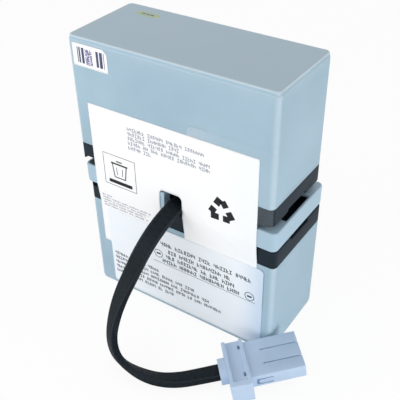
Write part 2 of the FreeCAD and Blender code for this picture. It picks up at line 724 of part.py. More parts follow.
# --- Wiring -----------------------------------------------------------------------------------
def link_wire():
    """Return the short wire that joins the two batteries in series at the back."""
    low = wire_start(1, False)
    high = wire_start(-1, True)
    turn_x = SHELF_START - LINK_FROM_SHELF
    route = [low, Vector(turn_x, low.y, low.z), Vector(turn_x, high.y, high.z), high]
    return tube(route, WIRE_RADIUS, FLATS_PER_WIRE)[0]


def lead(upper):
    """Return the lead from a battery's front terminal to the inner end of the sleeve."""
    side = 1 if upper else -1
    start = wire_start(side, upper)
    offset = LEAD_SPACING / 2 if upper else -LEAD_SPACING / 2
    end = Vector(CABLE_START.x + offset, CABLE_START.y, CABLE_START.z)
    behind = end.y + (POSITIVE_BEHIND if upper else NEGATIVE_BEHIND)
    level = SHELF_UNDERSIDE - POSITIVE_UNDER_SHELF if upper else CABLE_START.z - NEGATIVE_LOWER
    route = [
        start,
        Vector(SHELF_START - LEAD_BEND_START, start.y, start.z),
        Vector(SHELF_START - LEAD_BEND_END, start.y + LEAD_BEND_INWARDS, level),
        Vector(end.x - LEAD_SLOPE_START, behind, level),
        Vector(end.x - LEAD_SLOPE_END, behind + LEAD_SLOPE_INWARDS, end.z),
        Vector(end.x, behind + LEAD_RUN_IN, end.z),
        end,
    ]
    return tube(route, WIRE_RADIUS, FLATS_PER_WIRE)[0]


# --- Connector --------------------------------------------------------------------------------
def in_place(shape):
    """Set a connector piece down at the end of the cable."""
    turn = Rotation(CONNECTOR_YAW, -CONNECTOR_PITCH, 0)
    lift = COLLAR_LENGTH * math.sin(math.radians(CONNECTOR_PITCH))
    placed = shape.copy()
    placed.Placement = Placement(Vector(CONNECTOR_PLACE_X, CONNECTOR_PLACE_Y, lift), turn)
    return placed


def connector_housing():
    """Return the mating half: block, top grooves, side latch and two contact slots."""
    low, high = HOUSING_BASE, HOUSING_BASE + HOUSING_HEIGHT
    half = HOUSING_WIDTH / 2
    body = block((0, HOUSING_LENGTH), (-half, half), (low, high))
    long_edges = [e for e in body.Edges if abs(e.tangentAt(e.FirstParameter).x) > 0.99]
    body = body.makeFillet(HOUSING_EDGE, long_edges)
    for y in GROOVE_PLACES:
        groove_y = (y - GROOVE_WIDTH / 2, y + GROOVE_WIDTH / 2)
        groove = block((GROOVE_START, HOUSING_LENGTH), groove_y, (high - GROOVE_DEPTH, high))
        body = body.cut(groove)
    latch_y = (-half, -half + LATCH_DEPTH)
    latch_top = LATCH_LOW + LATCH_HEIGHT
    latch_end = LATCH_START + LATCH_LENGTH
    body = body.cut(
        block((LATCH_START, LATCH_START + 2 * LATCH_SLOT), latch_y, (LATCH_LOW, latch_top))
    )
    for z in (LATCH_LOW, latch_top - LATCH_SLOT):
        body = body.cut(block((LATCH_START, latch_end), latch_y, (z, z + LATCH_SLOT)))
    for y in (-CONTACT_PITCH / 2, CONTACT_PITCH / 2):
        body = body.cut(contact_space(y, 0.0, CONTACT_SLOT_DEPTH))
    return body


def contact_space(y, margin, depth):
    """Return a block in one contact slot, from the slot's floor towards its mouth."""
    middle = HOUSING_BASE + HOUSING_HEIGHT / 2
    half_y = CONTACT_SLOT_WIDTH / 2 - margin
    half_z = CONTACT_SLOT_HEIGHT / 2 - margin
    floor = HOUSING_LENGTH - CONTACT_SLOT_DEPTH
    return block(
        (floor, floor + depth), (y - half_y, y + half_y), (middle - half_z, middle + half_z)
    )


def connector_contacts():
    """Return the two boxed contacts, each against the floor of its slot."""
    contacts = []
    for y in (-CONTACT_PITCH / 2, CONTACT_PITCH / 2):
        shell = contact_space(y, CONTACT_CLEARANCE, CONTACT_LENGTH)
        hollow = contact_space(y, CONTACT_CLEARANCE + CONTACT_WALL, CONTACT_LENGTH)
        hollow.translate(Vector(CONTACT_WALL, 0, 0))
        contacts.append(shell.cut(hollow))
    return contacts


def connector_collar():
    """Return the collar: two flanges, the channel between them and its snap windows."""
    body = block((-COLLAR_LENGTH, 0), (-COLLAR_RIGHT, COLLAR_LEFT), (0, COLLAR_HEIGHT))
    body = body.makeFillet(
        COLLAR_EDGE, [e for e in body.Edges if abs(e.tangentAt(e.FirstParameter).x) > 0.99]
    )
    channel_x = (-COLLAR_LENGTH + FLANGE, -FLANGE)
    channel_y = (-COLLAR_RIGHT + CHANNEL_END, COLLAR_LEFT)
    body = body.cut(block(channel_x, channel_y, (COLLAR_HEIGHT - CHANNEL_DEPTH, COLLAR_HEIGHT)))
    snap_x = (-FLANGE - SNAP_LENGTH, -FLANGE)
    snap_z = (COLLAR_HEIGHT - CHANNEL_DEPTH - SNAP_DEPTH, COLLAR_HEIGHT - CHANNEL_DEPTH)
    for y in (-COLLAR_RIGHT + 2 * CHANNEL_END, COLLAR_LEFT - CHANNEL_END - SNAP_WIDTH):
        body = body.cut(block(snap_x, (y, y + SNAP_WIDTH), snap_z))
    return body


def connector_boot():
    """Return the rounded boss that the cable enters, with its socket."""
    middle = COLLAR_HEIGHT / 2
    back = -COLLAR_LENGTH - BOOT_LENGTH
    body = block(
        (back, -COLLAR_LENGTH),
        (-BOOT_WIDTH / 2, BOOT_WIDTH / 2),
        (middle - BOOT_HEIGHT / 2, middle + BOOT_HEIGHT / 2),
    )
    along = [e for e in body.Edges if abs(e.tangentAt(e.FirstParameter).x) > 0.99]
    body = body.makeFillet(BOOT_CORNER, along)
    radius = CABLE_RADIUS + BOOT_CLEARANCE
    socket = Part.makeCylinder(radius, BOOT_SOCKET, Vector(back, 0, middle), Vector(1, 0, 0))
    return body.cut(socket)


def cable():
    """Return the sleeved cable from inside the spacer to the floor of the boot's socket."""
    middle = COLLAR_HEIGHT / 2
    floor = Vector(-COLLAR_LENGTH - BOOT_LENGTH + BOOT_SOCKET, 0, middle)
    run_in = Vector(floor.x - CABLE_RUN_IN, 0, middle)
    seat = in_place(Part.Vertex(floor)).Point
    approach = in_place(Part.Vertex(run_in)).Point
    outside = CABLE_START.sub(Vector(0, CABLE_STRAIGHT, 0))
    route = [CABLE_START, outside] + CABLE_BENDS + [approach, seat]
    solid, radii, length = tube(route, CABLE_RADIUS, FLATS_PER_CABLE)
    print("cable radii", [round(radius, 1) for radius in radii], "length", round(length, 1))
    print("cable runs", [round(b.sub(a).Length, 1) for a, b in zip(route, route[1:])])
    return solid


# --- Labels -----------------------------------------------------------------------------------
def sheet(profile, left, right):
    """Return a thin sheet that follows a profile in Y and Z, from one X to another.

    The profile lists (y, z) down the face that the sheet covers; the sheet lies in front.
    """
    back = [Vector(left, y, z) for y, z in profile]
    front = [Vector(left, y - SHEET, z) for y, z in reversed(profile)]
    outline = Part.makePolygon(back + front + back[:1])
    return Part.Face(outline).extrude(Vector(right - left, 0, 0))


def front_cut(left, right, low, high, corner, rounded):
    """Return a block through the front whose chosen edges along Y are rounded."""
    body = block((left, right), (2 * LOWER_FRONT, 0), (low, high))
    edges = []
    for edge in body.Edges:
        middle = edge.CenterOfMass
        if abs(edge.tangentAt(edge.FirstParameter).y) > 0.99 and rounded(middle):
            edges.append(edge)
    return body.makeFillet(corner, edges)


def cartridge_label():
    """Return the large label that bridges both batteries, with its cable window."""
    upper = UPPER_FRONT - FILM - SHEET_GAP
    lower = LOWER_FRONT - SHEET_GAP
    profile = [
        (upper, CARTRIDGE_LABEL_HIGH),
        (upper, LID_TOP),
        (lower, JAR_HEIGHT),
        (lower, CARTRIDGE_LABEL_LOW),
    ]
    body = sheet(profile, CARTRIDGE_LABEL_LEFT, CARTRIDGE_LABEL_RIGHT)
    window = front_cut(
        LABEL_WINDOW_LEFT,
        LABEL_WINDOW_RIGHT,
        LID_TOP - LABEL_WINDOW_BELOW,
        LID_TOP + LABEL_WINDOW_ABOVE,
        LABEL_WINDOW_CORNER,
        lambda middle: middle.z > LID_TOP,
    )
    return body.cut(window)


def battery_label():
    """Return the lower battery's own label, which laps over the large one."""
    plain = LOWER_FRONT - SHEET_GAP
    lapped = plain - SHEET - SHEET_GAP
    profile = [
        (lapped, BATTERY_LABEL_HIGH),
        (lapped, CARTRIDGE_LABEL_LOW - LAP_START),
        (plain, CARTRIDGE_LABEL_LOW - LAP_START - LAP_LENGTH),
        (plain, BATTERY_LABEL_FROM_BASE),
    ]
    body = sheet(profile, BATTERY_LABEL_LEFT, BATTERY_LABEL_RIGHT)
    outline = front_cut(
        BATTERY_LABEL_LEFT,
        BATTERY_LABEL_RIGHT,
        BATTERY_LABEL_FROM_BASE,
        BATTERY_LABEL_HIGH,
        BATTERY_LABEL_CORNER,
        lambda middle: True,
    )
    return body.common(outline)


def clear_film():
    """Return the clear film beside the label, wrapped round the upper jar's corner."""
    corner_x = CASE_LENGTH / 2 - CASE_CORNER + UPPER_SHIFT_X
    centre = Vector(corner_x, UPPER_FRONT + CASE_CORNER, UPPER_LID_TOP + PLATEAU_RISE)

    def on_corner(radius, degrees):
        angle = math.radians(degrees)
        return centre.add(Vector(radius * math.sin(angle), -radius * math.cos(angle), 0))

    inner, outer = CASE_CORNER + FILM / 4, CASE_CORNER + FILM
    flat_start = Vector(FILM_LEFT, 0, centre.z)
    a = Vector(flat_start.x, centre.y - inner, centre.z)
    b = Vector(flat_start.x, centre.y - outer, centre.z)
    inner_arc = Part.Arc(
        on_corner(inner, 0), on_corner(inner, FILM_WRAP / 2), on_corner(inner, FILM_WRAP)
    )
    outer_arc = Part.Arc(
        on_corner(outer, FILM_WRAP), on_corner(outer, FILM_WRAP / 2), on_corner(outer, 0)
    )
    outline = Part.Wire(
        [
            Part.LineSegment(a, on_corner(inner, 0)).toShape(),
            inner_arc.toShape(),
            Part.LineSegment(on_corner(inner, FILM_WRAP), on_corner(outer, FILM_WRAP)).toShape(),
            outer_arc.toShape(),
            Part.LineSegment(on_corner(outer, 0), b).toShape(),
            Part.LineSegment(b, a).toShape(),
        ]
    )
    body = Part.Face(outline).extrude(Vector(0, 0, FILM_HIGH - centre.z))
    edge = on_corner(outer, FILM_WRAP).x
    limit = front_cut(
        FILM_LEFT, edge, centre.z, FILM_HIGH, FILM_CORNER, lambda middle: middle.z > FILM_HIGH - 1
    )
    return body.common(limit)


def barcode_label():
    """Return the small code label near the top of the upper jar, one corner clipped."""
    back = UPPER_FRONT - SHEET_GAP
    corners = [
        (BARCODE_LEFT, BARCODE_LOW),
        (BARCODE_RIGHT, BARCODE_LOW),
        (BARCODE_RIGHT, BARCODE_HIGH - BARCODE_CLIP),
        (BARCODE_RIGHT - BARCODE_CLIP, BARCODE_HIGH),
        (BARCODE_LEFT, BARCODE_HIGH),
    ]
    points = [Vector(x, back, z) for x, z in corners]
    outline = Part.makePolygon(points + points[:1])
    return Part.Face(outline).extrude(Vector(0, -SHEET, 0))


# --- Assembly ---------------------------------------------------------------------------------
def battery_pieces():
    """Return one battery's pieces by name, in the lower battery's place."""
    return {
        "jar": jar(),
        "lid": lid(),
        "vent_cover": vent_cover(),
        "valve_caps": valve_caps(),
        "positive_plates": plates(True),
        "negative_plates": plates(False),
        "separators": separators(),
        "cell_straps": cell_straps(),
        "terminal_negative": terminal(-1),
        "terminal_positive": terminal(1),
        "terminal_seals": terminal_seals(),
        "receptacle_negative": receptacle(-1),
        "receptacle_positive": receptacle(1),
    }


def cartridge_pieces():
    """Return every piece of the cartridge by name, each a solid or a list of solids."""
    pieces = {}
    for name, shape in battery_pieces().items():
        solids = shape if isinstance(shape, list) else [shape]
        pieces["lower_" + name] = solids
        pieces["upper_" + name] = [as_upper(solid) for solid in solids]
    pieces["spacer"] = spacer()
    pieces["foam_pads"] = foam_pads()
    pieces["link_wire"] = link_wire()
    pieces["negative_lead"] = lead(False)
    pieces["positive_lead"] = lead(True)
    pieces["cable"] = cable()
    pieces["connector_housing"] = in_place(connector_housing())
    pieces["connector_contacts"] = [in_place(contact) for contact in connector_contacts()]
    pieces["connector_collar"] = in_place(connector_collar())
    pieces["connector_boot"] = in_place(connector_boot())
    pieces["cartridge_label"] = cartridge_label()
    pieces["battery_label"] = battery_label()
    pieces["clear_film"] = clear_film()
    pieces["barcode_label"] = barcode_label()
    return pieces


def main():
    """Write one STEP file for each piece."""
    os.makedirs("parts", exist_ok=True)
    for name, shape in cartridge_pieces().items():
        solids = shape if isinstance(shape, list) else [shape]
        whole = solids[0] if len(solids) == 1 else Part.makeCompound(solids)
        whole.exportStep(os.path.join("parts", name + ".step"))
        print(name, len(whole.Solids), round(whole.Volume, 1), whole.isValid())


main()
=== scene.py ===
"""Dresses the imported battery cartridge: two stacked batteries, their labels, cable and plug.

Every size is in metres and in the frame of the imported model. Each sub-assembly is a class that
holds its own sizes, builds its meshes from numpy grids and gives them their finishes.
"""

import functools
import logging
import math
from dataclasses import dataclass
from enum import Enum

import bmesh
import bpy
import numpy as np
from bpy.types import ID, Material, NodeSocket, NodeTree, Object, World
from mathutils import Matrix, Vector


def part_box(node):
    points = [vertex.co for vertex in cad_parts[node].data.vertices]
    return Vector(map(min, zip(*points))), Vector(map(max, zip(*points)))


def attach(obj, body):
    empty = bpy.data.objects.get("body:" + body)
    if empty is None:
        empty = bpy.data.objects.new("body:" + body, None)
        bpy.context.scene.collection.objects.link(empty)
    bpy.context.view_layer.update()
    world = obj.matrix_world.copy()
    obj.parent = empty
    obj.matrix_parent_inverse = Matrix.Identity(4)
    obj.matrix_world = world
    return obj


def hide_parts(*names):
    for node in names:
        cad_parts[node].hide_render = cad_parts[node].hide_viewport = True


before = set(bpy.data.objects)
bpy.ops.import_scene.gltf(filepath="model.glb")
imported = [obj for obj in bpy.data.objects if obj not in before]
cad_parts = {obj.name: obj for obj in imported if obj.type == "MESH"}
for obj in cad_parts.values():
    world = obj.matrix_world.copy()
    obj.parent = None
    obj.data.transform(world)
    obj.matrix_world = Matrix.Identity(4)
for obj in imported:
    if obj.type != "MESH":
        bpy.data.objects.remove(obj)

Array = np.ndarray
Feeds = dict[str, NodeSocket]
LOG = logging.getLogger("cartridge")
MM = 0.001
QUARTER = math.pi / 2
# The Mix node's colour sockets share their names with its others, so they go by number.
FIRST, SECOND, MIXED = 6, 7, 2
# The range that broad noise seldom leaves.
NOISE_LOW, NOISE_HIGH = 0.3, 0.7


# --- Small tools ------------------------------------------------------------------------------
def linear(code: str) -> tuple[float, float, float, float]:
    """Turn an sRGB hex colour into linear light.

    Args:
        code: Six hex digits after a hash.

    Returns:
        Red, green, blue and an alpha of one, by the sRGB transfer curve.
    """
    parts = np.array([int(code[i : i + 2], 16) for i in (1, 3, 5)]) / 255.0
    light = np.where(parts <= 0.04045, parts / 12.92, ((parts + 0.055) / 1.055) ** 2.4)
    return (*light.tolist(), 1.0)


def add_node(
    tree: NodeTree,
    kind: str,
    inputs: dict | None = None,
    out: str | int = 0,
    stops: dict | None = None,
    **settings: object,
) -> NodeSocket | None:
    """Add one shader node with its settings, constants and incoming links.

    Args:
        tree: The node tree that gets the node.
        kind: The node's type name, after "ShaderNode".
        inputs: What each input gets, by name or number: a constant, or an output to join.
        out: Which output to return, by name or number.
        stops: The hex colours of a colour ramp, by their positions.
        settings: Properties of the node itself.

    Returns:
        The output that other nodes read, or None where the node has none.
    """
    node = tree.nodes.new("ShaderNode" + kind)
    for name, value in settings.items():
        setattr(node, name, value)
    for name, value in (inputs or {}).items():
        if isinstance(value, NodeSocket):
            tree.links.new(value, node.inputs[name])
        else:
            node.inputs[name].default_value = value
    if stops:
        for stop, (position, code) in zip(node.color_ramp.elements, stops.items()):
            stop.position, stop.color = position, linear(code)
    return node.outputs[out] if node.outputs else None


def bare_tree(owner: Material | World) -> NodeTree:
    """Turn on the nodes of a material or a world.

    Args:
        owner: The material or world.

    Returns:
        Its node tree, emptied.
    """
    owner.use_nodes = True
    owner.node_tree.nodes.clear()
    return owner.node_tree


def new_object(name: str, data: ID) -> Object:
    """Make an object and link it to the scene.

    Args:
        name: The object's name.
        data: Its mesh, curve, light or camera.

    Returns:
        The object, at the origin.
    """
    made = bpy.data.objects.new(name, data)
    bpy.context.scene.collection.objects.link(made)
    return made


def mesh_piece(
    name: str, points: Array, faces: list | Array, smooth: bool = True
) -> Object:
    """Make a mesh object from points and faces.

    Args:
        name: The piece's name.
        points: Vertices, an array whose last axis is X, Y and Z.
        faces: Vertex numbers of each face.
        smooth: True to shade the faces smooth.

    Returns:
        The new object.
    """
    mesh = bpy.data.meshes.new(name)
    mesh.from_pydata(points.reshape(-1, 3).tolist(), [], np.asarray(faces, object).tolist())
    mesh.polygons.foreach_set("use_smooth", [smooth] * len(mesh.polygons))
    mesh.update()
    return new_object(name, mesh)


def grid_faces(rows: int, columns: int, around: bool = False) -> Array:
    """Number the four corners of each cell of a grid of points.

    Args:
        rows: Points along the first parameter.
        columns: Points along the second parameter.
        around: True where the second parameter closes on itself.

    Returns:
        An array of shape (cells, 4), each cell counted round from its first corner.
    """
    cells = columns if around else columns - 1
    row, column = np.meshgrid(np.arange(rows - 1), np.arange(cells), indexing="ij")
    after = (column + 1) % columns
    near, far = row * columns, (row + 1) * columns
    corners = [near + column, near + after, far + after, far + column]
    return np.stack(corners, axis=-1).reshape(-1, 4)


def capped_tube(name: str, points: Array, inside_out: bool = False) -> Object:
    """Make a closed skin over rings of points, with a face over each end.

    Args:
        name: The piece's name.
        points: The rings, of shape (rings, around, 3).
        inside_out: True where the rings run the other way, so that the faces are turned round.

    Returns:
        The piece.
    """
    rings, around = points.shape[:2]
    first = list(range(around))
    last = list(range((rings - 1) * around, rings * around))
    faces = grid_faces(rings, around, around=True).tolist() + [first[::-1], last]
    if inside_out:
        faces = [face[::-1] for face in faces]
    return mesh_piece(name, points, faces)


def thick_sheet(
    node: str, points: Array, thickness: float, keep: Array | None = None
) -> Object:
    """Make a thin sheet from the grid of points of its outer face.

    Args:
        node: The CAD node that it replaces, and the start of its name.
        points: The outer face, of shape (rows, columns, 3).
        thickness: How thick the sheet is, inwards from that face.
        keep: True for each cell that is there; every cell is, where this is None.

    Returns:
        The sheet.
    """
    cells = grid_faces(*points.shape[:2])
    piece = mesh_piece(node + "_sheet", points, cells if keep is None else cells[keep])
    wall = piece.modifiers.new("thickness", "SOLIDIFY")
    wall.thickness, wall.offset = thickness, -1.0
    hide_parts(node)
    return piece


def flat_marks(name: str, corners: Array) -> Object:
    """Make one piece of separate flat marks, from their corners, of shape (n, 4, 3)."""
    faces = np.arange(4 * len(corners)).reshape(-1, 4)
    return mesh_piece(name, corners, faces, smooth=False)


def corner_drop(off: Array, radius: float) -> Array:
    """Work out how far a round corner falls back from a straight edge.

    It is a quarter circle: the radius less the root of radius squared minus into squared, where
    into is how much nearer to the side a point is than the radius.

    Args:
        off: Distance from the side.
        radius: The corner's radius.

    Returns:
        Distance from the edge, zero away from the corner.
    """
    into = np.clip(radius - off, 0.0, radius)
    return radius - np.sqrt(radius**2 - into**2)


def store_painted_highlight(piece: Object, amount: Array) -> None:
    """Store each vertex's share of painted highlight, from 0 to 1, where its finish reads it."""
    layer = piece.data.attributes.new("painted_highlight", "FLOAT", "POINT")
    layer.data.foreach_set("value", amount.reshape(-1))


def run_lengths(line: Array) -> Array:
    """Return the length along a line from its first point to each of its points."""
    steps = np.linalg.norm(np.diff(line, axis=0), axis=1)
    return np.concatenate([[0.0], np.cumsum(steps)])


def softened_copy(name: str, node: str, width: float, limit: float = 40.0) -> Object:
    """Copy a CAD node with its doubles merged and its sharp edges rounded.

    Args:
        name: The new piece's name.
        node: The CAD node that it stands for.
        width: How far the rounding reaches from each edge.
        limit: Edges that turn by more than this many degrees are rounded.

    Returns:
        The copy, which replaces the node.
    """
    work = bmesh.new()
    work.from_mesh(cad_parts[node].data)
    bmesh.ops.remove_doubles(work, verts=work.verts, dist=0.002 * MM)
    bmesh.ops.dissolve_limit(
        work, angle_limit=math.radians(1.0), verts=work.verts, edges=work.edges
    )
    mesh = bpy.data.meshes.new(name)
    work.to_mesh(mesh)
    work.free()
    mesh.polygons.foreach_set("use_smooth", [True] * len(mesh.polygons))
    mesh.set_sharp_from_angle(angle=math.radians(limit))
    piece = new_object(name, mesh)
    bevel = piece.modifiers.new("soft edges", "BEVEL")
    bevel.width, bevel.segments = width, 2
    bevel.limit_method, bevel.angle_limit = "ANGLE", math.radians(limit)
    bevel.use_clamp_overlap = bevel.harden_normals = True
    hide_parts(node)
    return piece


# --- Finishes ---------------------------------------------------------------------------------
@dataclass(frozen=True)
class Finish:
    """What every finish has: a name, a colour and how it takes the light."""

    name: str
    colour: str
    roughness: float = 0.5
    ior: float = 1.5
    metallic: float = 0.0
    sheen_tint: str = "#ffffff"

    @functools.cache
    def material(self) -> Material:
        """Make the material, once for each finish.

        Returns:
            The material: the finish's constants, and its pattern over them.
        """
        made = bpy.data.materials.new(self.name)
        tree = bare_tree(made)
        constants = {
            "Base Color": linear(self.colour),
            "Roughness": self.roughness,
            "IOR": self.ior,
            "Metallic": self.metallic,
            "Specular Tint": linear(self.sheen_tint),
        }
        shader = add_node(tree, "BsdfPrincipled", constants | self.pattern(tree))
        add_node(tree, "OutputMaterial", {"Surface": shader})
        return made

    def pattern(self, tree: NodeTree) -> Feeds:
        """Add the nodes that vary over the surface, and return what feeds the shader."""
        raise NotImplementedError

    def cover(self, piece: Object) -> None:
        """Make this finish the piece's only material."""
        piece.data.materials.clear()
        piece.data.materials.append(self.material())

    def settle(self, piece: Object, slot: str) -> Object:
        """Cover a new piece, let it ride and report it.

        Args:
            piece: The finished object.
            slot: Not used.

        Returns:
            The same object.
        """
        self.cover(piece)
        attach(piece, "root")
        LOG.info("piece %s: %d faces, %s", piece.name, len(piece.data.polygons), self.name)
        return piece


@dataclass(frozen=True)
class MouldedPlastic(Finish):
    """Injection-moulded ABS, polycarbonate or PVC from a spark-eroded mould.

    The mould leaves a fine even grain that spreads the highlight; flow and handling leave faint
    broad clouds in the colour and in the gloss. Edges with a stored share get a paler painted
    highlight.
    """

    cloud: str = "#9fb4c1"
    # The painted highlight's colour, mixed in on edges by their stored share.
    highlight_colour: str = "#e1ebf1"
    grain: float = 0.7 * MM
    depth: float = 0.03 * MM
    clouds: float = 60 * MM
    gloss_spread: float = 0.08

    def pattern(self, tree: NodeTree) -> Feeds:
        """Mix two close colours by broad noise, paint a paler highlight on marked edges, and raise
        the grain, drawn coarse enough to show.

        Args:
            tree: The material's nodes.

        Returns:
            What feeds the shader.
        """
        place = add_node(tree, "TexCoord", out="Object")
        clouds = {"Vector": place, "Scale": 1 / self.clouds, "Detail": 4.0, "Roughness": 0.55}
        broad = add_node(tree, "TexNoise", clouds)
        stops = {NOISE_LOW: self.cloud, NOISE_HIGH: self.colour}
        colour = add_node(tree, "ValToRGB", {"Fac": broad}, stops=stops)
        # Painted highlight: each vertex's stored share mixes in the paler colour.
        painted_highlight = add_node(tree, "Attribute", out="Fac", attribute_name="painted_highlight")
        edges = {0: painted_highlight, FIRST: colour, SECOND: linear(self.highlight_colour)}
        spread = {
            "Value": broad,
            "From Min": NOISE_LOW,
            "From Max": NOISE_HIGH,
            "To Min": self.roughness - self.gloss_spread,
            "To Max": self.roughness + self.gloss_spread,
        }
        grain = {"Vector": place, "Scale": 1 / self.grain, "Detail": 2.0}
        fine = add_node(tree, "TexNoise", grain)
        relief = {"Height": fine, "Strength": 0.35, "Distance": self.depth}
        return {
            "Base Color": add_node(tree, "Mix", edges, out=MIXED, data_type="RGBA"),
            "Roughness": add_node(tree, "MapRange", spread),
            "Normal": add_node(tree, "Bump", relief),
        }


@dataclass(frozen=True)
class LabelStock(Finish):
    """Coated label paper or film: bright and smooth, with faint fibre and a low sheen."""

    # Painted shade: the colour fades to this darker, bluer one between these two places along X.
    shade_colour: str = "#eef3f7"
    shade_from: float = 20 * MM
    shade_to: float = 75 * MM
    fibre: float = 0.9 * MM
    depth: float = 0.02 * MM

    def pattern(self, tree: NodeTree) -> Feeds:
        """Fade the colour to a painted shade along X, and raise the coat's faint fibre.

        Args:
            tree: The material's nodes.

        Returns:
            What feeds the shader.
        """
        place = add_node(tree, "TexCoord", out="Object")
        across = add_node(tree, "SeparateXYZ", {"Vector": place}, out="X")
        fade = {"Value": across, "From Min": self.shade_from, "From Max": self.shade_to}
        share = add_node(tree, "MapRange", fade, interpolation_type="SMOOTHSTEP")
        shade_mix = {0: share, FIRST: linear(self.colour), SECOND: linear(self.shade_colour)}
        weave = {"Vector": place, "Scale": 1 / self.fibre, "Detail": 3.0}
        fibre = add_node(tree, "TexNoise", weave)
        relief = {"Height": fibre, "Strength": 0.15, "Distance": self.depth}
        return {
            "Base Color": add_node(tree, "Mix", shade_mix, out=MIXED, data_type="RGBA"),
            "Normal": add_node(tree, "Bump", relief),
        }


@dataclass(frozen=True)
class Ink(Finish):
    """Thermal-transfer print: a thin dark layer, broken by small worn specks."""

    worn: str = "#4b5158"
    speck: float = 0.8 * MM

    def pattern(self, tree: NodeTree) -> Feeds:
        """Turn the ink to its worn colour where fine noise is high.

        Args:
            tree: The material's nodes.

        Returns:
            What feeds the shader.
        """
        place = add_node(tree, "TexCoord", out="Object")
        fine = {"Vector": place, "Scale": 1 / self.speck, "Detail": 2.0}
        specks = add_node(tree, "TexNoise", fine)
        stops = {0.45: self.colour, 0.75: self.worn}
        return {"Base Color": add_node(tree, "ValToRGB", {"Fac": specks}, stops=stops)}


@dataclass(frozen=True)
class ClearFilm(Finish):
    """Clear polyester film, with a painted sheen: a faint white cover, stronger at its left end.
    """

    # The white cover is a painted sheen: faint over most of the film, stronger towards the left
    # end between these two places.
    faint_sheen_cover: float = 0.035
    strong_sheen_cover: float = 0.22
    strong_sheen_until: float = 14 * MM
    faint_sheen_from: float = 42 * MM
    ripple: float = 14 * MM
    depth: float = 0.3 * MM

    def pattern(self, tree: NodeTree) -> Feeds:
        """Let most light through, less so at the left end, where the painted sheen is stronger,
        with faint ripples in the gloss.

        Args:
            tree: The material's nodes.

        Returns:
            What feeds the shader.
        """
        place = add_node(tree, "TexCoord", out="Object")
        broad = {"Vector": place, "Scale": 1 / self.ripple, "Detail": 1.0}
        ripple = add_node(tree, "TexNoise", broad)
        relief = {"Height": ripple, "Strength": 0.2, "Distance": self.depth}
        # Painted sheen: the white cover is strongest at the film's left end.
        lifted = {
            "Value": add_node(tree, "SeparateXYZ", {"Vector": place}, out="X"),
            "From Min": self.strong_sheen_until,
            "From Max": self.faint_sheen_from,
            "To Min": self.strong_sheen_cover,
            "To Max": self.faint_sheen_cover,
        }
        return {
            "Alpha": add_node(tree, "MapRange", lifted, interpolation_type="SMOOTHSTEP"),
            "Normal": add_node(tree, "Bump", relief),
        }


@dataclass(frozen=True)
class BraidedSleeve(Finish):
    """Woven polyester sleeve over two leads: a fine slanting weave, with painted highlights."""

    raised: str = "#151b20"
    # The painted highlight's colour along the section's corners.
    highlight_colour: str = "#5a646d"
    thread: float = 0.55 * MM
    slant: float = 0.7
    depth: float = 0.06 * MM

    def pattern(self, tree: NodeTree) -> Feeds:
        """Cross two slanting waves on the piece's own map to make the braid, and add the painted
        highlight on its corners.

        A wave turns through twenty radians for each unit of its scale, so this scale gives each
        thread one radian: coarser than the real braid, which would be too fine to show.

        Args:
            tree: The material's nodes.

        Returns:
            What feeds the shader.
        """
        place = add_node(tree, "UVMap", uv_map="run")
        waves = {}
        for number, turn in enumerate((self.slant, -self.slant)):
            slanted = {"Vector": place, "Rotation": (0.0, 0.0, turn)}
            threads = {
                "Vector": add_node(tree, "Mapping", slanted),
                "Scale": 1 / (20 * self.thread),
                "Distortion": 0.4,
                "Detail": 1.0,
            }
            waves[number] = add_node(tree, "TexWave", threads, out="Fac")
        weave = add_node(tree, "Math", waves, operation="MAXIMUM")
        dyes = {0: weave, FIRST: linear(self.colour), SECOND: linear(self.raised)}
        colour = add_node(tree, "Mix", dyes, out=MIXED, data_type="RGBA")
        # Painted highlight: the paler colour is mixed in along the section's corners.
        painted_highlight = add_node(tree, "Attribute", out="Fac", attribute_name="painted_highlight")
        edges = {0: painted_highlight, FIRST: colour, SECOND: linear(self.highlight_colour)}
        relief = {"Height": weave, "Strength": 0.3, "Distance": self.depth}
        return {
            "Base Color": add_node(tree, "Mix", edges, out=MIXED, data_type="RGBA"),
            "Normal": add_node(tree, "Bump", relief),
        }


@dataclass(frozen=True)
class DullMetal(Finish):
    """Cast or plated metal: even colour with fine mottling in its gloss."""

    mottle: float = 2.0 * MM
    gloss_spread: float = 0.15

    def pattern(self, tree: NodeTree) -> Feeds:
        """Vary the roughness with small-scale noise.

        Args:
            tree: The material's nodes.

        Returns:
            What feeds the shader.
        """
        place = add_node(tree, "TexCoord", out="Object")
        mottle = {"Vector": place, "Scale": 1 / self.mottle, "Detail": 3.0}
        spread = {
            "Value": add_node(tree, "TexNoise", mottle),
            "To Min": self.roughness - self.gloss_spread,
            "To Max": self.roughness + self.gloss_spread,
        }
        return {"Roughness": add_node(tree, "MapRange", spread)}


@dataclass(frozen=True)
class Granular(Finish):
    """Pressed paste, glass mat, foam or rubber: matt, with a grain that shades its colour."""

    dark: str = "#202020"
    grain: float = 0.8 * MM
    depth: float = 0.1 * MM

    def pattern(self, tree: NodeTree) -> Feeds:
        """Drive the colour and the bump from one grain.

        Args:
            tree: The material's nodes.

        Returns:
            What feeds the shader.
        """
        place = add_node(tree, "TexCoord", out="Object")
        grains = {"Vector": place, "Scale": 1 / self.grain, "Detail": 3.0}
        noise = add_node(tree, "TexNoise", grains)
        tones = {0: noise, FIRST: linear(self.dark), SECOND: linear(self.colour)}
        relief = {"Height": noise, "Strength": 0.4, "Distance": self.depth}
        return {
            "Base Color": add_node(tree, "Mix", tones, out=MIXED, data_type="RGBA"),
            "Normal": add_node(tree, "Bump", relief),
        }


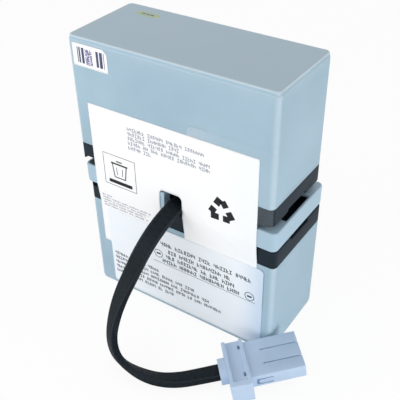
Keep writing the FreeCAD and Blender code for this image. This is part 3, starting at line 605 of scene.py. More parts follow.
JAR_ABS = MouldedPlastic(
    "grey_blue_abs_jar", "#a9c3d2", 0.42, sheen_tint="#bcdcf5", cloud="#9eb8c8"
)
LID_ABS = MouldedPlastic(
    "black_abs_lid", "#29333d", 0.5, ior=1.28, sheen_tint="#b9d6ee", cloud="#1d252c"
)
SPACER_ABS = MouldedPlastic("grey_blue_abs_spacer", "#afcadc", 0.45, cloud="#a6c0d2")
CONNECTOR_PC = MouldedPlastic(
    "grey_polycarbonate_connector", "#bed3eb", 0.38, ior=1.58, cloud="#b4cae3", clouds=25 * MM
)
RED_PVC = MouldedPlastic("red_pvc_insulation", "#a5282b", 0.35, cloud="#8f2226", clouds=10 * MM)
BLACK_PVC = MouldedPlastic(
    "black_pvc_insulation", "#1e2225", 0.35, cloud="#171a1d", clouds=10 * MM
)
SEAL_EPOXY = MouldedPlastic(
    "epoxy_terminal_seal", "#2c3238", 0.25, cloud="#23282d", clouds=8 * MM
)
# Both labels fade along X into a painted shade, the lower battery's label far more.
LABEL_PAPER = LabelStock("white_coated_label_paper", "#fdfeff", 0.42, shade_colour="#f6fbff")
BATTERY_LABEL = LabelStock(
    "pale_polyester_label", "#f3f9ff", 0.36, shade_colour="#c8dcf2", shade_from=45 * MM
)
LABEL_INK = Ink("black_label_print", "#14181c", 0.45, ior=1.3, worn="#333a40")
FAINT_INK = Ink("grey_label_print", "#5c6883", 0.45, worn="#7f8ba3")
BARCODE_INK = Ink("blue_black_label_print", "#3c4468", 0.45, worn="#525a80")
VIOLET_INK = Ink("violet_label_print", "#7d74b4", 0.45, worn="#9890c6")
MARK_INK = Ink("olive_round_mark_print", "#b7c96a", 0.4, worn="#cbd98c")
# The film's pale colour, laid on by its cover, is a painted sheen.
FILM = ClearFilm("clear_polyester_film", "#e8f4fc", 0.2)
SLEEVE = BraidedSleeve(
    "black_braided_polyester_sleeve", "#0d1217", 0.55, ior=1.28, sheen_tint="#cfe0ee"
)
TINNED_BRASS = DullMetal("tinned_brass", "#c9c8c2", 0.32, metallic=1.0)
CAST_LEAD = DullMetal("cast_lead", "#8b9097", 0.55, metallic=1.0)
POSITIVE_PASTE = Granular("cured_lead_dioxide_paste", "#5b3a2c", 0.85, dark="#3a241c")
NEGATIVE_PASTE = Granular("sponge_lead_paste", "#868b90", 0.8, dark="#666b70")
GLASS_MAT = Granular("absorbed_glass_mat", "#eef0ee", 0.9, dark="#d6d9d8", grain=0.5 * MM)
VALVE_RUBBER = Granular("epdm_valve_rubber", "#2a2a2b", 0.75, dark="#1e1e1f", depth=0.03 * MM)
POLYETHYLENE_FOAM = Granular(
    "polyethylene_foam", "#5d6267", 0.95, dark="#3c4044", grain=1.2 * MM, depth=0.4 * MM
)

NODE_FINISHES: dict[str, Finish] = {
    "vent_cover": LID_ABS,
    "valve_caps": VALVE_RUBBER,
    "positive_plates": POSITIVE_PASTE,
    "negative_plates": NEGATIVE_PASTE,
    "separators": GLASS_MAT,
    "cell_straps": CAST_LEAD,
    "terminal_negative": TINNED_BRASS,
    "terminal_positive": TINNED_BRASS,
    "terminal_seals": SEAL_EPOXY,
    "receptacle_negative": TINNED_BRASS,
    "receptacle_positive": TINNED_BRASS,
}


# --- Batteries --------------------------------------------------------------------------------
class Place(Enum):
    """Which of the two batteries: the lower stands upright, the upper lies on its lid."""

    LOWER = "lower"
    UPPER = "upper"


@dataclass
class Battery:
    """One sealed battery: a moulded jar under a black lid, with what shows inside its wells."""

    place: Place
    corner: float = 4.0 * MM
    corner_points: int = 9
    side_points: tuple[int, int] = (60, 26)
    foot_height: float = 3.0 * MM
    foot_inset: float = 0.45 * MM
    foot_fillet: float = 1.3 * MM
    wall_rings: int = 14
    seam_bevel: float = 0.4 * MM
    bead_radius: float = 0.34 * MM
    bead_points: int = 8
    # Painted highlight: its strength at the base's edge, the foot's step and the corners, and the
    # width of its band at the step.
    edge_highlight: float = 0.75
    foot_highlight: float = 0.3375
    corner_highlight: float = 0.3
    foot_highlight_width: float = 0.3 * MM
    cell_pitch: float = 49.3 * MM
    sink: float = 0.12 * MM
    sink_width: float = 4.0 * MM
    lid_edge: float = 0.3 * MM

    def outline(self) -> tuple[Array, Array]:
        """Walk once round the jar.

        The outline is a rectangle with round corners: each corner is a quarter circle about its
        own centre, and the sides between them are straight, with points every few millimetres.

        Returns:
            Points and outward directions in X and Y, each of shape (n, 2).
        """
        low, high = (np.array(corner)[:2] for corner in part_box(self.place.value + "_jar"))
        middle, reach = (low + high) / 2, (high - low) / 2 - self.corner
        turn = np.linspace(0.0, QUARTER, self.corner_points)
        signs = ((1, 1), (-1, 1), (-1, -1), (1, -1))
        points, outward = [], []
        for number, sign in enumerate(signs):
            angle = turn + number * QUARTER
            away = np.stack([np.cos(angle), np.sin(angle)], axis=1)
            arc = middle + reach * sign + self.corner * away
            following = middle + reach * signs[(number + 1) % 4] + self.corner * away[-1]
            count = self.side_points[number % 2]
            share = np.linspace(0.0, 1.0, count + 2)[1:-1, None]
            points += [arc, arc[-1] * (1 - share) + following * share]
            outward += [away, np.repeat(away[-1:], count, axis=0)]
        return np.concatenate(points), np.concatenate(outward)

    def wall_profile(self, height: float) -> tuple[Array, Array]:
        """Work out the jar's side, from just inside its base's edge up to the seam.

        The base turns into the foot through a quarter circle, a short slope leads from the foot
        to the wall, and the wall ends in a small bevel at the seam.

        Args:
            height: The jar's height.

        Returns:
            Distance above the base and distance in from the outline, one value a ring.
        """
        turn = np.linspace(0.0, QUARTER, 7)
        inset = self.foot_inset + self.foot_fillet
        rise = self.foot_fillet * (1 - np.cos(turn))
        into = inset - self.foot_fillet * np.sin(turn)
        slope = self.foot_height - self.foot_inset
        wall_start = self.foot_height + 0.4 * MM
        wall = np.linspace(wall_start, height - self.seam_bevel, self.wall_rings)
        up = np.r_[0.0, rise, slope, self.foot_height, wall, height]
        base = inset + 0.6 * MM
        flush = np.zeros(self.wall_rings)
        return up, np.r_[base, into, self.foot_inset, 0.0, flush, self.seam_bevel]

    def jar(self) -> Object:
        """Build the jar's outer shell.

        A point is the outline moved inwards by the profile. On the long walls it is moved in a
        little more where the partitions behind the wall have shrunk, by a bell curve about each
        partition that fades towards the base and the seam.

        Returns:
            The jar, which replaces its CAD node.
        """
        name = self.place.value + "_jar"
        low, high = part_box(name)
        outline, outward = self.outline()
        height = high.z - low.z
        up, inset = self.wall_profile(height)
        along = outline[:, 0] - (low.x + high.x) / 2
        bell = sum(
            np.exp(-(((along - at) / self.sink_width) ** 2))
            for at in (-self.cell_pitch / 2, self.cell_pitch / 2)
        )
        fade = np.clip(np.sin(np.pi * up / height), 0.0, 1.0)
        shrink = self.sink * fade[:, None] * (bell * np.abs(outward[:, 1]) ** 4)[None, :]
        flat = outline[None] - outward[None] * (inset[:, None] + shrink)[..., None]
        level = low.z + up if self.place is Place.LOWER else high.z - up
        levels = np.broadcast_to(level[:, None, None], flat.shape[:2] + (1,))
        points = np.concatenate([flat, levels], axis=-1)
        piece = capped_tube(name + "_shell", points, inside_out=self.place is Place.UPPER)
        # Store the painted highlight along the base's edge, the foot's step and the corners.
        store_painted_highlight(piece, self.painted_highlight(up, outward))
        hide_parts(name)
        return piece

    def painted_highlight(self, up: Array, outward: Array) -> Array:
        """Work out where the jar gets a painted highlight: the base's edge, the foot and the
        corners.

        Each is a bell curve of the height, or grows with how far the wall faces a corner.

        Args:
            up: Distance of each ring above the base.
            outward: Outward direction of each point of the outline.

        Returns:
            How strong the painted highlight is at each point, of shape (rings, points).
        """
        edge_height = 0.35 * self.foot_fillet
        edge = self.edge_highlight * np.exp(-(((up - edge_height) / edge_height) ** 2))
        step = np.exp(-(((up - self.foot_height) / self.foot_highlight_width) ** 2))
        level = np.maximum(edge, self.foot_highlight * step)
        facing = 2 * np.abs(outward[:, 0] * outward[:, 1])
        return np.maximum(level[:, None], self.corner_highlight * facing[None, :] ** 2)

    def seam_bead(self) -> Object:
        """Build the thin bead of lid plastic that the heat seal squeezes into the seam.

        A small circle is carried once round the jar's outline, its middle just inside the wall.

        Returns:
            The bead.
        """
        low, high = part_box(self.place.value + "_jar")
        seam = high.z if self.place is Place.LOWER else low.z
        outline, outward = self.outline()
        around, count = len(outline), self.bead_points
        angle = np.linspace(0.0, 2 * math.pi, count + 1)[:-1]
        out = self.bead_radius * np.cos(angle) - self.bead_radius - 0.02 * MM
        flat = outline[:, None] + outward[:, None] * out[None, :, None]
        level = np.broadcast_to(seam + self.bead_radius * np.sin(angle), flat.shape[:2])
        points = np.concatenate([flat, level[..., None]], axis=-1)
        quads = grid_faces(around + 1, count, around=True) % (around * count)
        return mesh_piece(self.place.value + "_seam_bead", points, quads[:, ::-1])

    def build(self) -> None:
        """Build and dress the jar, the seam's bead and the lid, and dress the nodes inside."""
        JAR_ABS.settle(self.jar(), "jar_plastic")
        LID_ABS.settle(self.seam_bead(), "lid_plastic")
        lid = self.place.value + "_lid"
        LID_ABS.settle(softened_copy(lid + "_soft", lid, self.lid_edge), "lid_plastic")
        for suffix, finish in NODE_FINISHES.items():
            finish.cover(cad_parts[f"{self.place.value}_{suffix}"])


# --- Spacer and wiring ------------------------------------------------------------------------
@dataclass
class SpacerAndWires:
    """The moulded spacer between the batteries, its foam pads and the three short wires."""

    edge: float = 0.35 * MM
    wire_edge: float = 0.1 * MM
    wires: tuple[tuple[str, Finish, str], ...] = (
        ("link_wire", BLACK_PVC, "wire_black"),
        ("negative_lead", BLACK_PVC, "wire_black"),
        ("positive_lead", RED_PVC, "wire_red"),
    )

    def build(self) -> None:
        """Soften the spacer, shade the wires' many-sided sections round and dress the pads."""
        SPACER_ABS.settle(softened_copy("spacer_soft", "spacer", self.edge), "spacer_plastic")
        for node, finish, slot in self.wires:
            wire = softened_copy(node + "_round", node, self.wire_edge, limit=75.0)
            finish.settle(wire, slot)
        POLYETHYLENE_FOAM.cover(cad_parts["foam_pads"])


# --- Labels -----------------------------------------------------------------------------------
def boxes(rectangles: Array) -> Array:
    """Turn rectangles into four corners each.

    Args:
        rectangles: (left, low, right, high), of shape (n, 4).

    Returns:
        Corners counted round, of shape (n, 4, 2).
    """
    left, low, right, high = rectangles.T
    corners = [(left, low), (right, low), (right, high), (left, high)]
    return np.array(corners).transpose(2, 0, 1)


def bar(start: Array, end: Array, width: float, pieces: int = 1) -> Array:
    """Lay a straight bar between two points of a sheet.

    Args:
        start: X and Z where the bar's middle line starts.
        end: X and Z where it ends.
        width: The bar's width.
        pieces: How many parts it is cut into, so that it can follow the sheet.

    Returns:
        Corners of the parts, of shape (pieces, 4, 2).
    """
    along = (end - start) / np.linalg.norm(end - start)
    side = np.array([-along[1], along[0]]) * width / 2
    ends = start + (end - start) * np.linspace(0.0, 1.0, pieces + 1)[:, None]
    first, last = ends[:-1], ends[1:]
    return np.stack([first - side, last - side, last + side, first + side], axis=1)


@dataclass(frozen=True)
class Print:
    """One size of print: small strokes that look like words from afar and spell nothing."""

    size: float
    boldness: float
    # The pitch of the cells, and their width and height, in shares of the size.
    pitch: float = 0.82
    wide: float = 0.5
    tall: float = 0.9
    # Three bars for each of six cells, as X and Z of their two ends in shares of the cell.
    cells: tuple = (
        ((0, 0, 0, 1), (1, 0, 1, 1), (0, 0.5, 1, 0.5)),
        ((0, 0, 0, 1), (0, 0, 1, 0), (0, 0.5, 0.7, 0.5)),
        ((0.2, 0, 0.2, 1), (0.8, 0, 0.8, 1), (0.2, 1, 0.8, 1)),
        ((0, 0, 0, 1), (0, 0.5, 1, 0.5), (1, 0, 1, 0.5)),
        ((1, 0, 1, 1), (0, 0.5, 0, 1), (0, 0.5, 1, 0.5)),
        ((0, 0, 1, 0), (0, 1, 1, 1), (0.5, 0, 0.5, 1)),
    )

    def row(
        self, chance: np.random.Generator, left: float, right: float, level: float
    ) -> Array:
        """Lay one row.

        The row is cut into equal cells, about one in seven is left blank as a gap, and each
        other cell gets one of six sets of upright and level bars.

        Args:
            chance: The label's own sequence of random numbers.
            left: X where the row starts.
            right: X where it ends.
            level: Z of its middle.

        Returns:
            Rectangles as (left, low, right, high), of shape (n, 4).
        """
        pitch, wide, tall = (self.size * share for share in (self.pitch, self.wide, self.tall))
        half = self.boldness * self.size / 2
        count = max(int((right - left) / pitch), 1)
        blank = np.zeros(count, bool)
        at = int(chance.integers(3, 8))
        while at < count - 1:
            blank[at] = True
            at += int(chance.integers(3, 10))
        kinds = chance.integers(0, len(self.cells), count)
        strokes = np.array(self.cells)[kinds[~blank]]
        start = (left + pitch * np.arange(count))[~blank][:, None]
        base = level - tall / 2
        sides = [
            start + wide * strokes[..., 0] - half,
            base + tall * strokes[..., 1] - half,
            start + wide * strokes[..., 2] + half,
            base + tall * strokes[..., 3] + half,
        ]
        return np.stack(sides, axis=-1).reshape(-1, 4)

    def rows(self, chance: np.random.Generator, places: Array) -> Array:
        """Lay rows given as (left, right, level), and return their corners."""
        return boxes(np.concatenate([self.row(chance, *place) for place in places]))


class Sheet:
    """A surface near the front of the stack, given as Y over X and Z."""

    ink_lift: float = 0.03 * MM
    thickness: float

    def depth(self, x: Array, z: Array) -> Array:
        """Return Y of the sheet's outer face at X and Z."""
        raise NotImplementedError

    def face_points(self, x: Array, z: Array, lift: float = 0.0) -> Array:
        """Bring X and Z to one shape, and return the points (x, depth(x, z) - lift, z)."""
        x, z = np.broadcast_arrays(x, z)
        return np.stack([x, self.depth(x, z) - lift, z], axis=-1)

    def cut(self, node: str, x: Array, bottom: Array, top: Array, rows: int) -> Object:
        """Cut the sheet between a bottom and a top line, with straight columns between them.

        Args:
            node: The CAD node that it replaces.
            x: X of each column.
            bottom: Z where each column starts.
            top: Z where it ends.
            rows: How many points each column has.

        Returns:
            The sheet.
        """
        share = np.linspace(0.0, 1.0, rows)[:, None]
        points = self.face_points(x, bottom * (1 - share) + top * share)
        return thick_sheet(node, points, self.thickness)

    def ink(self, name: str, shapes: Array, finish: Finish, slot: str) -> None:
        """Print flat marks just off the sheet, from X and Z of corners, shape (n, 4, 2)."""
        corners = self.face_points(shapes[..., 0], shapes[..., 1], self.ink_lift)
        finish.settle(flat_marks(name, corners), slot)


@dataclass
class CartridgeLabel(Sheet):
    """The large white label that bridges both batteries, with the cable's window in it."""

    left: float = -66.5 * MM
    right: float = 62.5 * MM
    low: float = 42.0 * MM
    high: float = 157.5 * MM
    window_left: float = -11.5 * MM
    window_right: float = 6.3 * MM
    window_low: float = 68.0 * MM
    window_high: float = 109.0 * MM
    window_corner: float = 3.0 * MM
    columns: tuple[int, int, int] = (40, 25, 42)
    rows: tuple[int, int, int] = (14, 30, 26)
    lower_face: float = -32.75 * MM
    upper_face: float = -34.55 * MM
    bend_low: float = 78.0 * MM
    bend_high: float = 94.0 * MM
    thickness: float = 0.2 * MM
    wrinkle: float = 0.55 * MM
    wrinkle_width: float = 2.6 * MM
    second_wrinkle: float = 0.275 * MM
    second_width: float = 4.16 * MM
    second_off: float = 6 * MM
    wrinkle_ends: tuple = ((14.0, 103.0), (61.0, 80.0))
    seed: int = 7
    heading_print: Print = Print(2.5 * MM, 0.15)
    foot_print: Print = Print(1.3 * MM, 0.17)
    # Heading and foot rows as (left, right, level) in millimetres.
    heading: tuple = (
        (-34.7, 26, 147.6),
        (-34.7, 8, 144.1),
        (-34.7, 30, 140.6),
        (-34.7, 30, 137.1),
        (-34.7, -15, 133.6),
    )
    foot: tuple = (
        (-63.5, -54, 85.4),
        (-63.5, -20, 83.0),
        (-63.5, -22, 80.6),
        (-63.5, -26, 78.2),
        (-63.5, -24, 75.9),
    )
    # Strokes of the framed sign as X and Z of both ends and the width, in millimetres.
    sign: tuple = (
        (-58, 98, -31, 98, 0.4),
        (-58, 122.8, -31, 122.8, 0.4),
        (-58, 98, -58, 122.8, 0.4),
        (-31, 98, -31, 122.8, 0.4),
        (-54.5, 101.3, -34.5, 101.3, 2.8),
        (-49, 105.5, -40, 105.5, 0.8),
        (-49, 105.5, -50.5, 116, 0.8),
        (-40, 105.5, -38.5, 116, 0.8),
        (-51.5, 116.4, -37.5, 116.4, 1.3),
        (-47, 118.6, -42, 118.6, 0.9),
        (-47.2, 113.6, -46.6, 107.6, 0.5),
        (-41.8, 113.6, -42.4, 107.6, 0.5),
    )
    # The three bent marks: their middle, reach and width in millimetres.
    ring_centre: tuple[float, float] = (36.6, 110.4)
    ring_reach: float = 10.2
    ring_width: float = 4.8
    ring_turns: tuple[int, int, int] = (92, 212, 332)
    # Where the two marks on each side start and end, in shares of the side.
    ring_shares: tuple = ((0.06, 0.4), (0.57, 0.86))

    def depth(self, x: Array, z: Array) -> Array:
        """Work out Y of the outer face.

        The face lies on the lower jar, slopes out to the upper one between the two bends, and
        stands off in a slanting wrinkle: a bell curve across a line that falls to the right,
        fading at both of its ends, with a second and lower one beside it.

        Args:
            x: X of each point.
            z: Z of each point.

        Returns:
            Y of each point.
        """
        plain = np.interp(z, [self.bend_low, self.bend_high], [self.lower_face, self.upper_face])
        start, end = np.array(self.wrinkle_ends) * MM
        length = np.linalg.norm(end - start)
        along = (end - start) / length
        run = (x - start[0]) * along[0] + (z - start[1]) * along[1]
        off = -(x - start[0]) * along[1] + (z - start[1]) * along[0]
        fade = np.sin(np.pi * np.clip(run / length, 0.0, 1.0))
        ridge = np.exp(-((off / self.wrinkle_width) ** 2))
        second = np.exp(-(((off - self.second_off) / self.second_width) ** 2))
        return plain - self.wrinkle * ridge * fade**0.6 - self.second_wrinkle * second * fade

    def paper(self) -> Object:
        """Build the sheet.

        The grid has three bands of rows, below, beside and above the window. The line between
        the upper two follows the window's round top corners, and the cells inside the window
        are left out.

        Returns:
            The sheet.
        """
        before, within, after = self.columns
        x = np.r_[
            np.linspace(self.left, self.window_left, before)[:-1],
            np.linspace(self.window_left, self.window_right, within),
            np.linspace(self.window_right, self.right, after)[1:],
        ]
        half = (self.window_right - self.window_left) / 2
        inside = half - np.abs(x - (self.window_left + self.window_right) / 2)
        drop = np.where(inside < -1e-9, 0.0, corner_drop(inside, self.window_corner))
        top = self.window_high - drop
        bottom = np.full_like(x, self.window_low)
        below, beside, above = (np.linspace(0.0, 1.0, n)[:, None] for n in self.rows)
        z = np.concatenate(
            [
                self.low + (bottom - self.low) * below,
                bottom + (top - bottom) * beside[1:],
                top + (self.high - top) * above[1:],
            ]
        )
        row, column = np.divmod(grid_faces(*z.shape)[:, 0], len(x))
        middle = (x[column] + x[column + 1]) / 2
        first = len(below) - 1
        level = (row >= first) & (row < first + len(beside) - 1)
        hole = level & (middle > self.window_left) & (middle < self.window_right)
        return thick_sheet(
            "cartridge_label", self.face_points(x, z), self.thickness, ~hole
        )

    def faint_print(self) -> Array:
        """Lay the light rows.

        Returns:
            Corners of the heading's strokes and of the smaller ones at the foot.
        """
        chance = np.random.default_rng(self.seed)
        heading = self.heading_print.rows(chance, np.array(self.heading) * MM)
        foot = self.foot_print.rows(chance, np.array(self.foot) * MM)
        return np.concatenate([heading, foot])

    def dark_print(self) -> Array:
        """Lay the dark shapes: a framed sign with a bar under it, and three bent marks.

        The marks lie along the sides of a triangle, two to a side, with gaps between them.

        Returns:
            Corners of all the shapes.
        """
        shapes = [bar(row[:2], row[2:4], row[4]) for row in np.array(self.sign) * MM]
        turns = np.radians(self.ring_turns)
        spokes = np.stack([np.cos(turns), np.sin(turns)], axis=1)
        corners = (np.array(self.ring_centre) + self.ring_reach * spokes) * MM
        for here, ahead in zip(corners, np.roll(corners, -1, axis=0)):
            for ends in self.ring_shares:
                start, end = (here + (ahead - here) * share for share in ends)
                shapes.append(bar(start, end, self.ring_width * MM, 2))
        return np.concatenate(shapes)

    def build(self) -> None:
        """Build the sheet and its two kinds of print."""
        LABEL_PAPER.settle(self.paper(), "label_paper")
        self.ink("cartridge_label_faint_print", self.faint_print(), FAINT_INK, "label_paper")
        self.ink("cartridge_label_dark_print", self.dark_print(), LABEL_INK, "label_paper")


@dataclass
class BatteryLabel(Sheet):
    """The lower battery's own label, lapped over the foot of the large one."""

    left: float = -61.0 * MM
    right: float = 68.0 * MM
    low: float = 3.7 * MM
    high: float = 74.0 * MM
    corner: float = 3.0 * MM
    face: float = -32.75 * MM
    lapped_face: float = -33.0 * MM
    lap_low: float = 39.0 * MM
    lap_high: float = 41.0 * MM
    thickness: float = 0.18 * MM
    ripple: float = 0.05 * MM
    ripple_across: float = 9 * MM
    ripple_up: float = 23 * MM
    rows: int = 50
    columns: int = 70
    corner_columns: int = 8
    seed: int = 21
    bold_print: Print = Print(3.0 * MM, 0.2)
    small_print: Print = Print(2.5 * MM, 0.2)
    # Rows of print as (left, right, level) in millimetres.
    bold: tuple = ((-14, 60, 61), (-8, 46, 55.4), (-9.7, 47, 50.4), (-13, 51, 45.6))
    small: tuple = (
        (-58, -17, 33),
        (-58, 15.5, 28.7),
        (-58, 27.5, 24.3),
        (-58, 37.3, 19.9),
        (-58, -4.5, 15.5),
    )
    # The rule's two ends and the round signs' middles as X and Z in millimetres.
    rule: tuple = ((-21.6, 42.6), (62.8, 42.6))
    rule_width: float = 0.35 * MM
    rule_parts: int = 12
    signs: tuple = ((-16.7, 50.5), (58.3, 46.9))
    sign_radius: float = 3.6 * MM
    sign_line: float = 0.5 * MM
    sign_bar: float = 1.8 * MM
    sign_bar_width: float = 1.4 * MM

    def depth(self, x: Array, z: Array) -> Array:
        """Return Y: a step out over the large label's edge, with ripples by a slanting sine."""
        ripple = self.ripple * np.abs(np.sin(x / self.ripple_across + z / self.ripple_up))
        return np.interp(z, [self.lap_low, self.lap_high], [self.face, self.lapped_face]) - ripple

    def paper(self) -> Object:
        """Build the sheet.

        Each column runs from a low line to a high line. Both lines are straight but for the
        round corners, where they come in by a quarter circle.

        Returns:
            The sheet.
        """
        turn = np.linspace(0.0, QUARTER, self.corner_columns)
        rounded = self.corner * (1 - np.cos(turn))
        first, last = self.left + self.corner, self.right - self.corner
        straight = np.linspace(first, last, self.columns)[1:-1]
        x = np.r_[self.left + rounded, straight, (self.right - rounded)[::-1]]
        drop = corner_drop(np.minimum(x - self.left, self.right - x), self.corner)
        return self.cut("battery_label", x, self.low + drop, self.high - drop, self.rows)

    def print_shapes(self) -> Array:
        """Lay the print: rows, a rule and two small round signs of eight bars with a ninth.

        Returns:
            Corners of all the shapes.
        """
        chance = np.random.default_rng(self.seed)
        shapes = [
            self.bold_print.rows(chance, np.array(self.bold) * MM),
            self.small_print.rows(chance, np.array(self.small) * MM),
            bar(*np.array(self.rule) * MM, self.rule_width, self.rule_parts),
        ]
        angles = np.radians(np.arange(0, 361, 45))
        spokes = self.sign_radius * np.stack([np.cos(angles), np.sin(angles)], axis=1)
        across = np.array([self.sign_bar, 0.0])
        for centre in np.array(self.signs) * MM:
            for here, ahead in zip(spokes, spokes[1:]):
                shapes.append(bar(centre + here, centre + ahead, self.sign_line))
            shapes.append(bar(centre - across, centre + across, self.sign_bar_width))
        return np.concatenate(shapes)

    def build(self) -> None:
        """Build the sheet and its print."""
        BATTERY_LABEL.settle(self.paper(), "battery_label_film")
        self.ink("battery_label_print", self.print_shapes(), LABEL_INK, "battery_label_film")


@dataclass
class WrappedFilm:
    """The clear film beside the large label, which goes round the upper jar's corner."""

    left: float = 11.4 * MM
    low: float = 111.0 * MM
    high: float = 165.0 * MM
    face: float = -34.3 * MM
    jar_corner: float = 4.0 * MM
    bend: float = 4.1 * MM
    wrap: float = 55.0
    rounding: float = 4.0 * MM
    thickness: float = 0.06 * MM
    rows: int = 16
    columns: tuple[int, int] = (50, 12)

    def build(self) -> None:
        """Build the film.

        The first parameter is the length along the film: straight along X, then round the
        corner's circle. The second is the height, cut down near the two ends by a quarter
        circle at the top corners.
        """
        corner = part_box("upper_jar")[1].x - self.jar_corner
        flat, bent = self.columns
        straight = np.linspace(self.left, corner, flat)
        angle = np.radians(np.linspace(0.0, self.wrap, bent)[1:])
        x = np.r_[straight, corner + self.bend * np.sin(angle)]
        turned = self.face + self.bend - self.bend * np.cos(angle)
        y = np.r_[np.full_like(straight, self.face), turned]
        top = self.high - corner_drop(np.minimum(x - x[0], x[-1] - x), self.rounding)
        share = np.linspace(0.0, 1.0, self.rows)[:, None]
        z = self.low * (1 - share) + top * share
        points = np.stack(np.broadcast_arrays(x, y, z), axis=-1)
        FILM.settle(thick_sheet("clear_film", points, self.thickness), "clear_film")


@dataclass
class BarcodeLabel(Sheet):
    """The small code label near the top of the upper jar, one corner clipped."""

    left: float = -73.8 * MM
    right: float = -46.0 * MM
    low: float = 182.5 * MM
    high: float = 198.0 * MM
    clip: float = 3.0 * MM
    face: float = -34.45 * MM
    thickness: float = 0.15 * MM
    margin_low: float = 2.6 * MM
    margin_high: float = 2.4 * MM
    seed: int = 3
    small_print: Print = Print(2.3 * MM, 0.26)
    # Where each bar starts and how wide it is, in millimetres from the label's left edge.
    bars: tuple = ((3.8, 0.7), (5.1, 1.2), (7.3, 2.0), (19.0, 1.9), (21.8, 2.3), (25.0, 0.5))
    # Rows of print as (left, right, level) in millimetres from the label's lower left corner.
    rows: tuple = (
        (10.6, 17.9, 11.4),
        (10.6, 16.9, 8.8),
        (10.6, 18.1, 6.2),
        (10.6, 16.4, 3.6),
    )

    def depth(self, x: Array, z: Array) -> Array:
        """Return Y of the flat outer face."""
        return np.full_like(x, self.face)

    def build(self) -> None:
        """Build the label, its bars and its small print.

        The top line falls over the clipped corner, and each column runs from the low line up
        to it.
        """
        x = np.linspace(self.left, self.right, 29)
        top = self.high - np.clip(x - (self.right - self.clip), 0.0, None)
        paper = self.cut("barcode_label", x, np.full_like(x, self.low), top, 9)
        LABEL_PAPER.settle(paper, "label_paper")
        start, width = np.array(self.bars).T * MM
        start = self.left + start
        low, high = self.low + self.margin_low, self.high - self.margin_high
        sides = np.broadcast_arrays(start, low, start + width, high)
        bars = boxes(np.stack(sides, axis=1))
        self.ink("barcode_label_bars", bars, BARCODE_INK, "label_paper")
        places = np.array(self.rows) * MM + (self.left, self.left, self.low)
        small = self.small_print.rows(np.random.default_rng(self.seed), places)
        self.ink("barcode_label_print", small, VIOLET_INK, "label_paper")


@dataclass
class TopMark:
    """The small printed oval on the upper battery's base, which is the stack's top."""

    centre_x: float = -53.6 * MM
    centre_y: float = 18.2 * MM
    half_length: float = 9.2 * MM
    half_width: float = 3.1 * MM
    lift: float = 0.02 * MM
    around: int = 72
    dashes: int = 11
    dash_half: float = 0.7 * MM
    dash_span: tuple[float, float] = (-5.2, 4.4)
    dash_lengths: tuple[float, float] = (0.4, 0.8)
    seed: int = 11

    def band(self, name: str, outer: float, inner: float) -> None:
        """Build one flat elliptical band.

        The first parameter goes from the ellipse's outer to its inner edge, the second once
        round it.

        Args:
            name: The piece's name.
            outer: Outer edge as a share of the oval.
            inner: Inner edge as a share of the oval.
        """
        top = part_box("upper_jar")[1].z
        angle = np.linspace(0.0, 2 * math.pi, self.around + 1)[:-1]
        shares = np.linspace(outer, inner, 3)[:, None]
        x = self.centre_x + self.half_length * shares * np.cos(angle)
        y = self.centre_y + self.half_width * shares * np.sin(angle)
        points = np.stack([x, y, np.full_like(x, top + self.lift)], axis=-1)
        faces = grid_faces(3, self.around, around=True)
        MARK_INK.settle(mesh_piece(name, points, faces, smooth=False), "label_paper")

    def build(self) -> None:
        """Build the oval's two bands and its row of dashes of uneven length."""
        self.band("top_mark_outer", 1.0, 0.72)
        self.band("top_mark_inner", 0.6, 0.5)
        start = np.linspace(*self.dash_span, self.dashes) * MM + self.centre_x
        chance = np.random.default_rng(self.seed)
        length = chance.uniform(*self.dash_lengths, self.dashes) * MM
        low, high = self.centre_y - self.dash_half, self.centre_y + self.dash_half
        sides = np.broadcast_arrays(start, low, start + length, high)
        flat = boxes(np.stack(sides, axis=1))
        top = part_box("upper_jar")[1].z + 1.5 * self.lift
        corners = np.concatenate([flat, np.full(flat.shape[:2] + (1,), top)], axis=-1)
        LABEL_INK.settle(flat_marks("top_mark_dashes", corners), "label_paper")


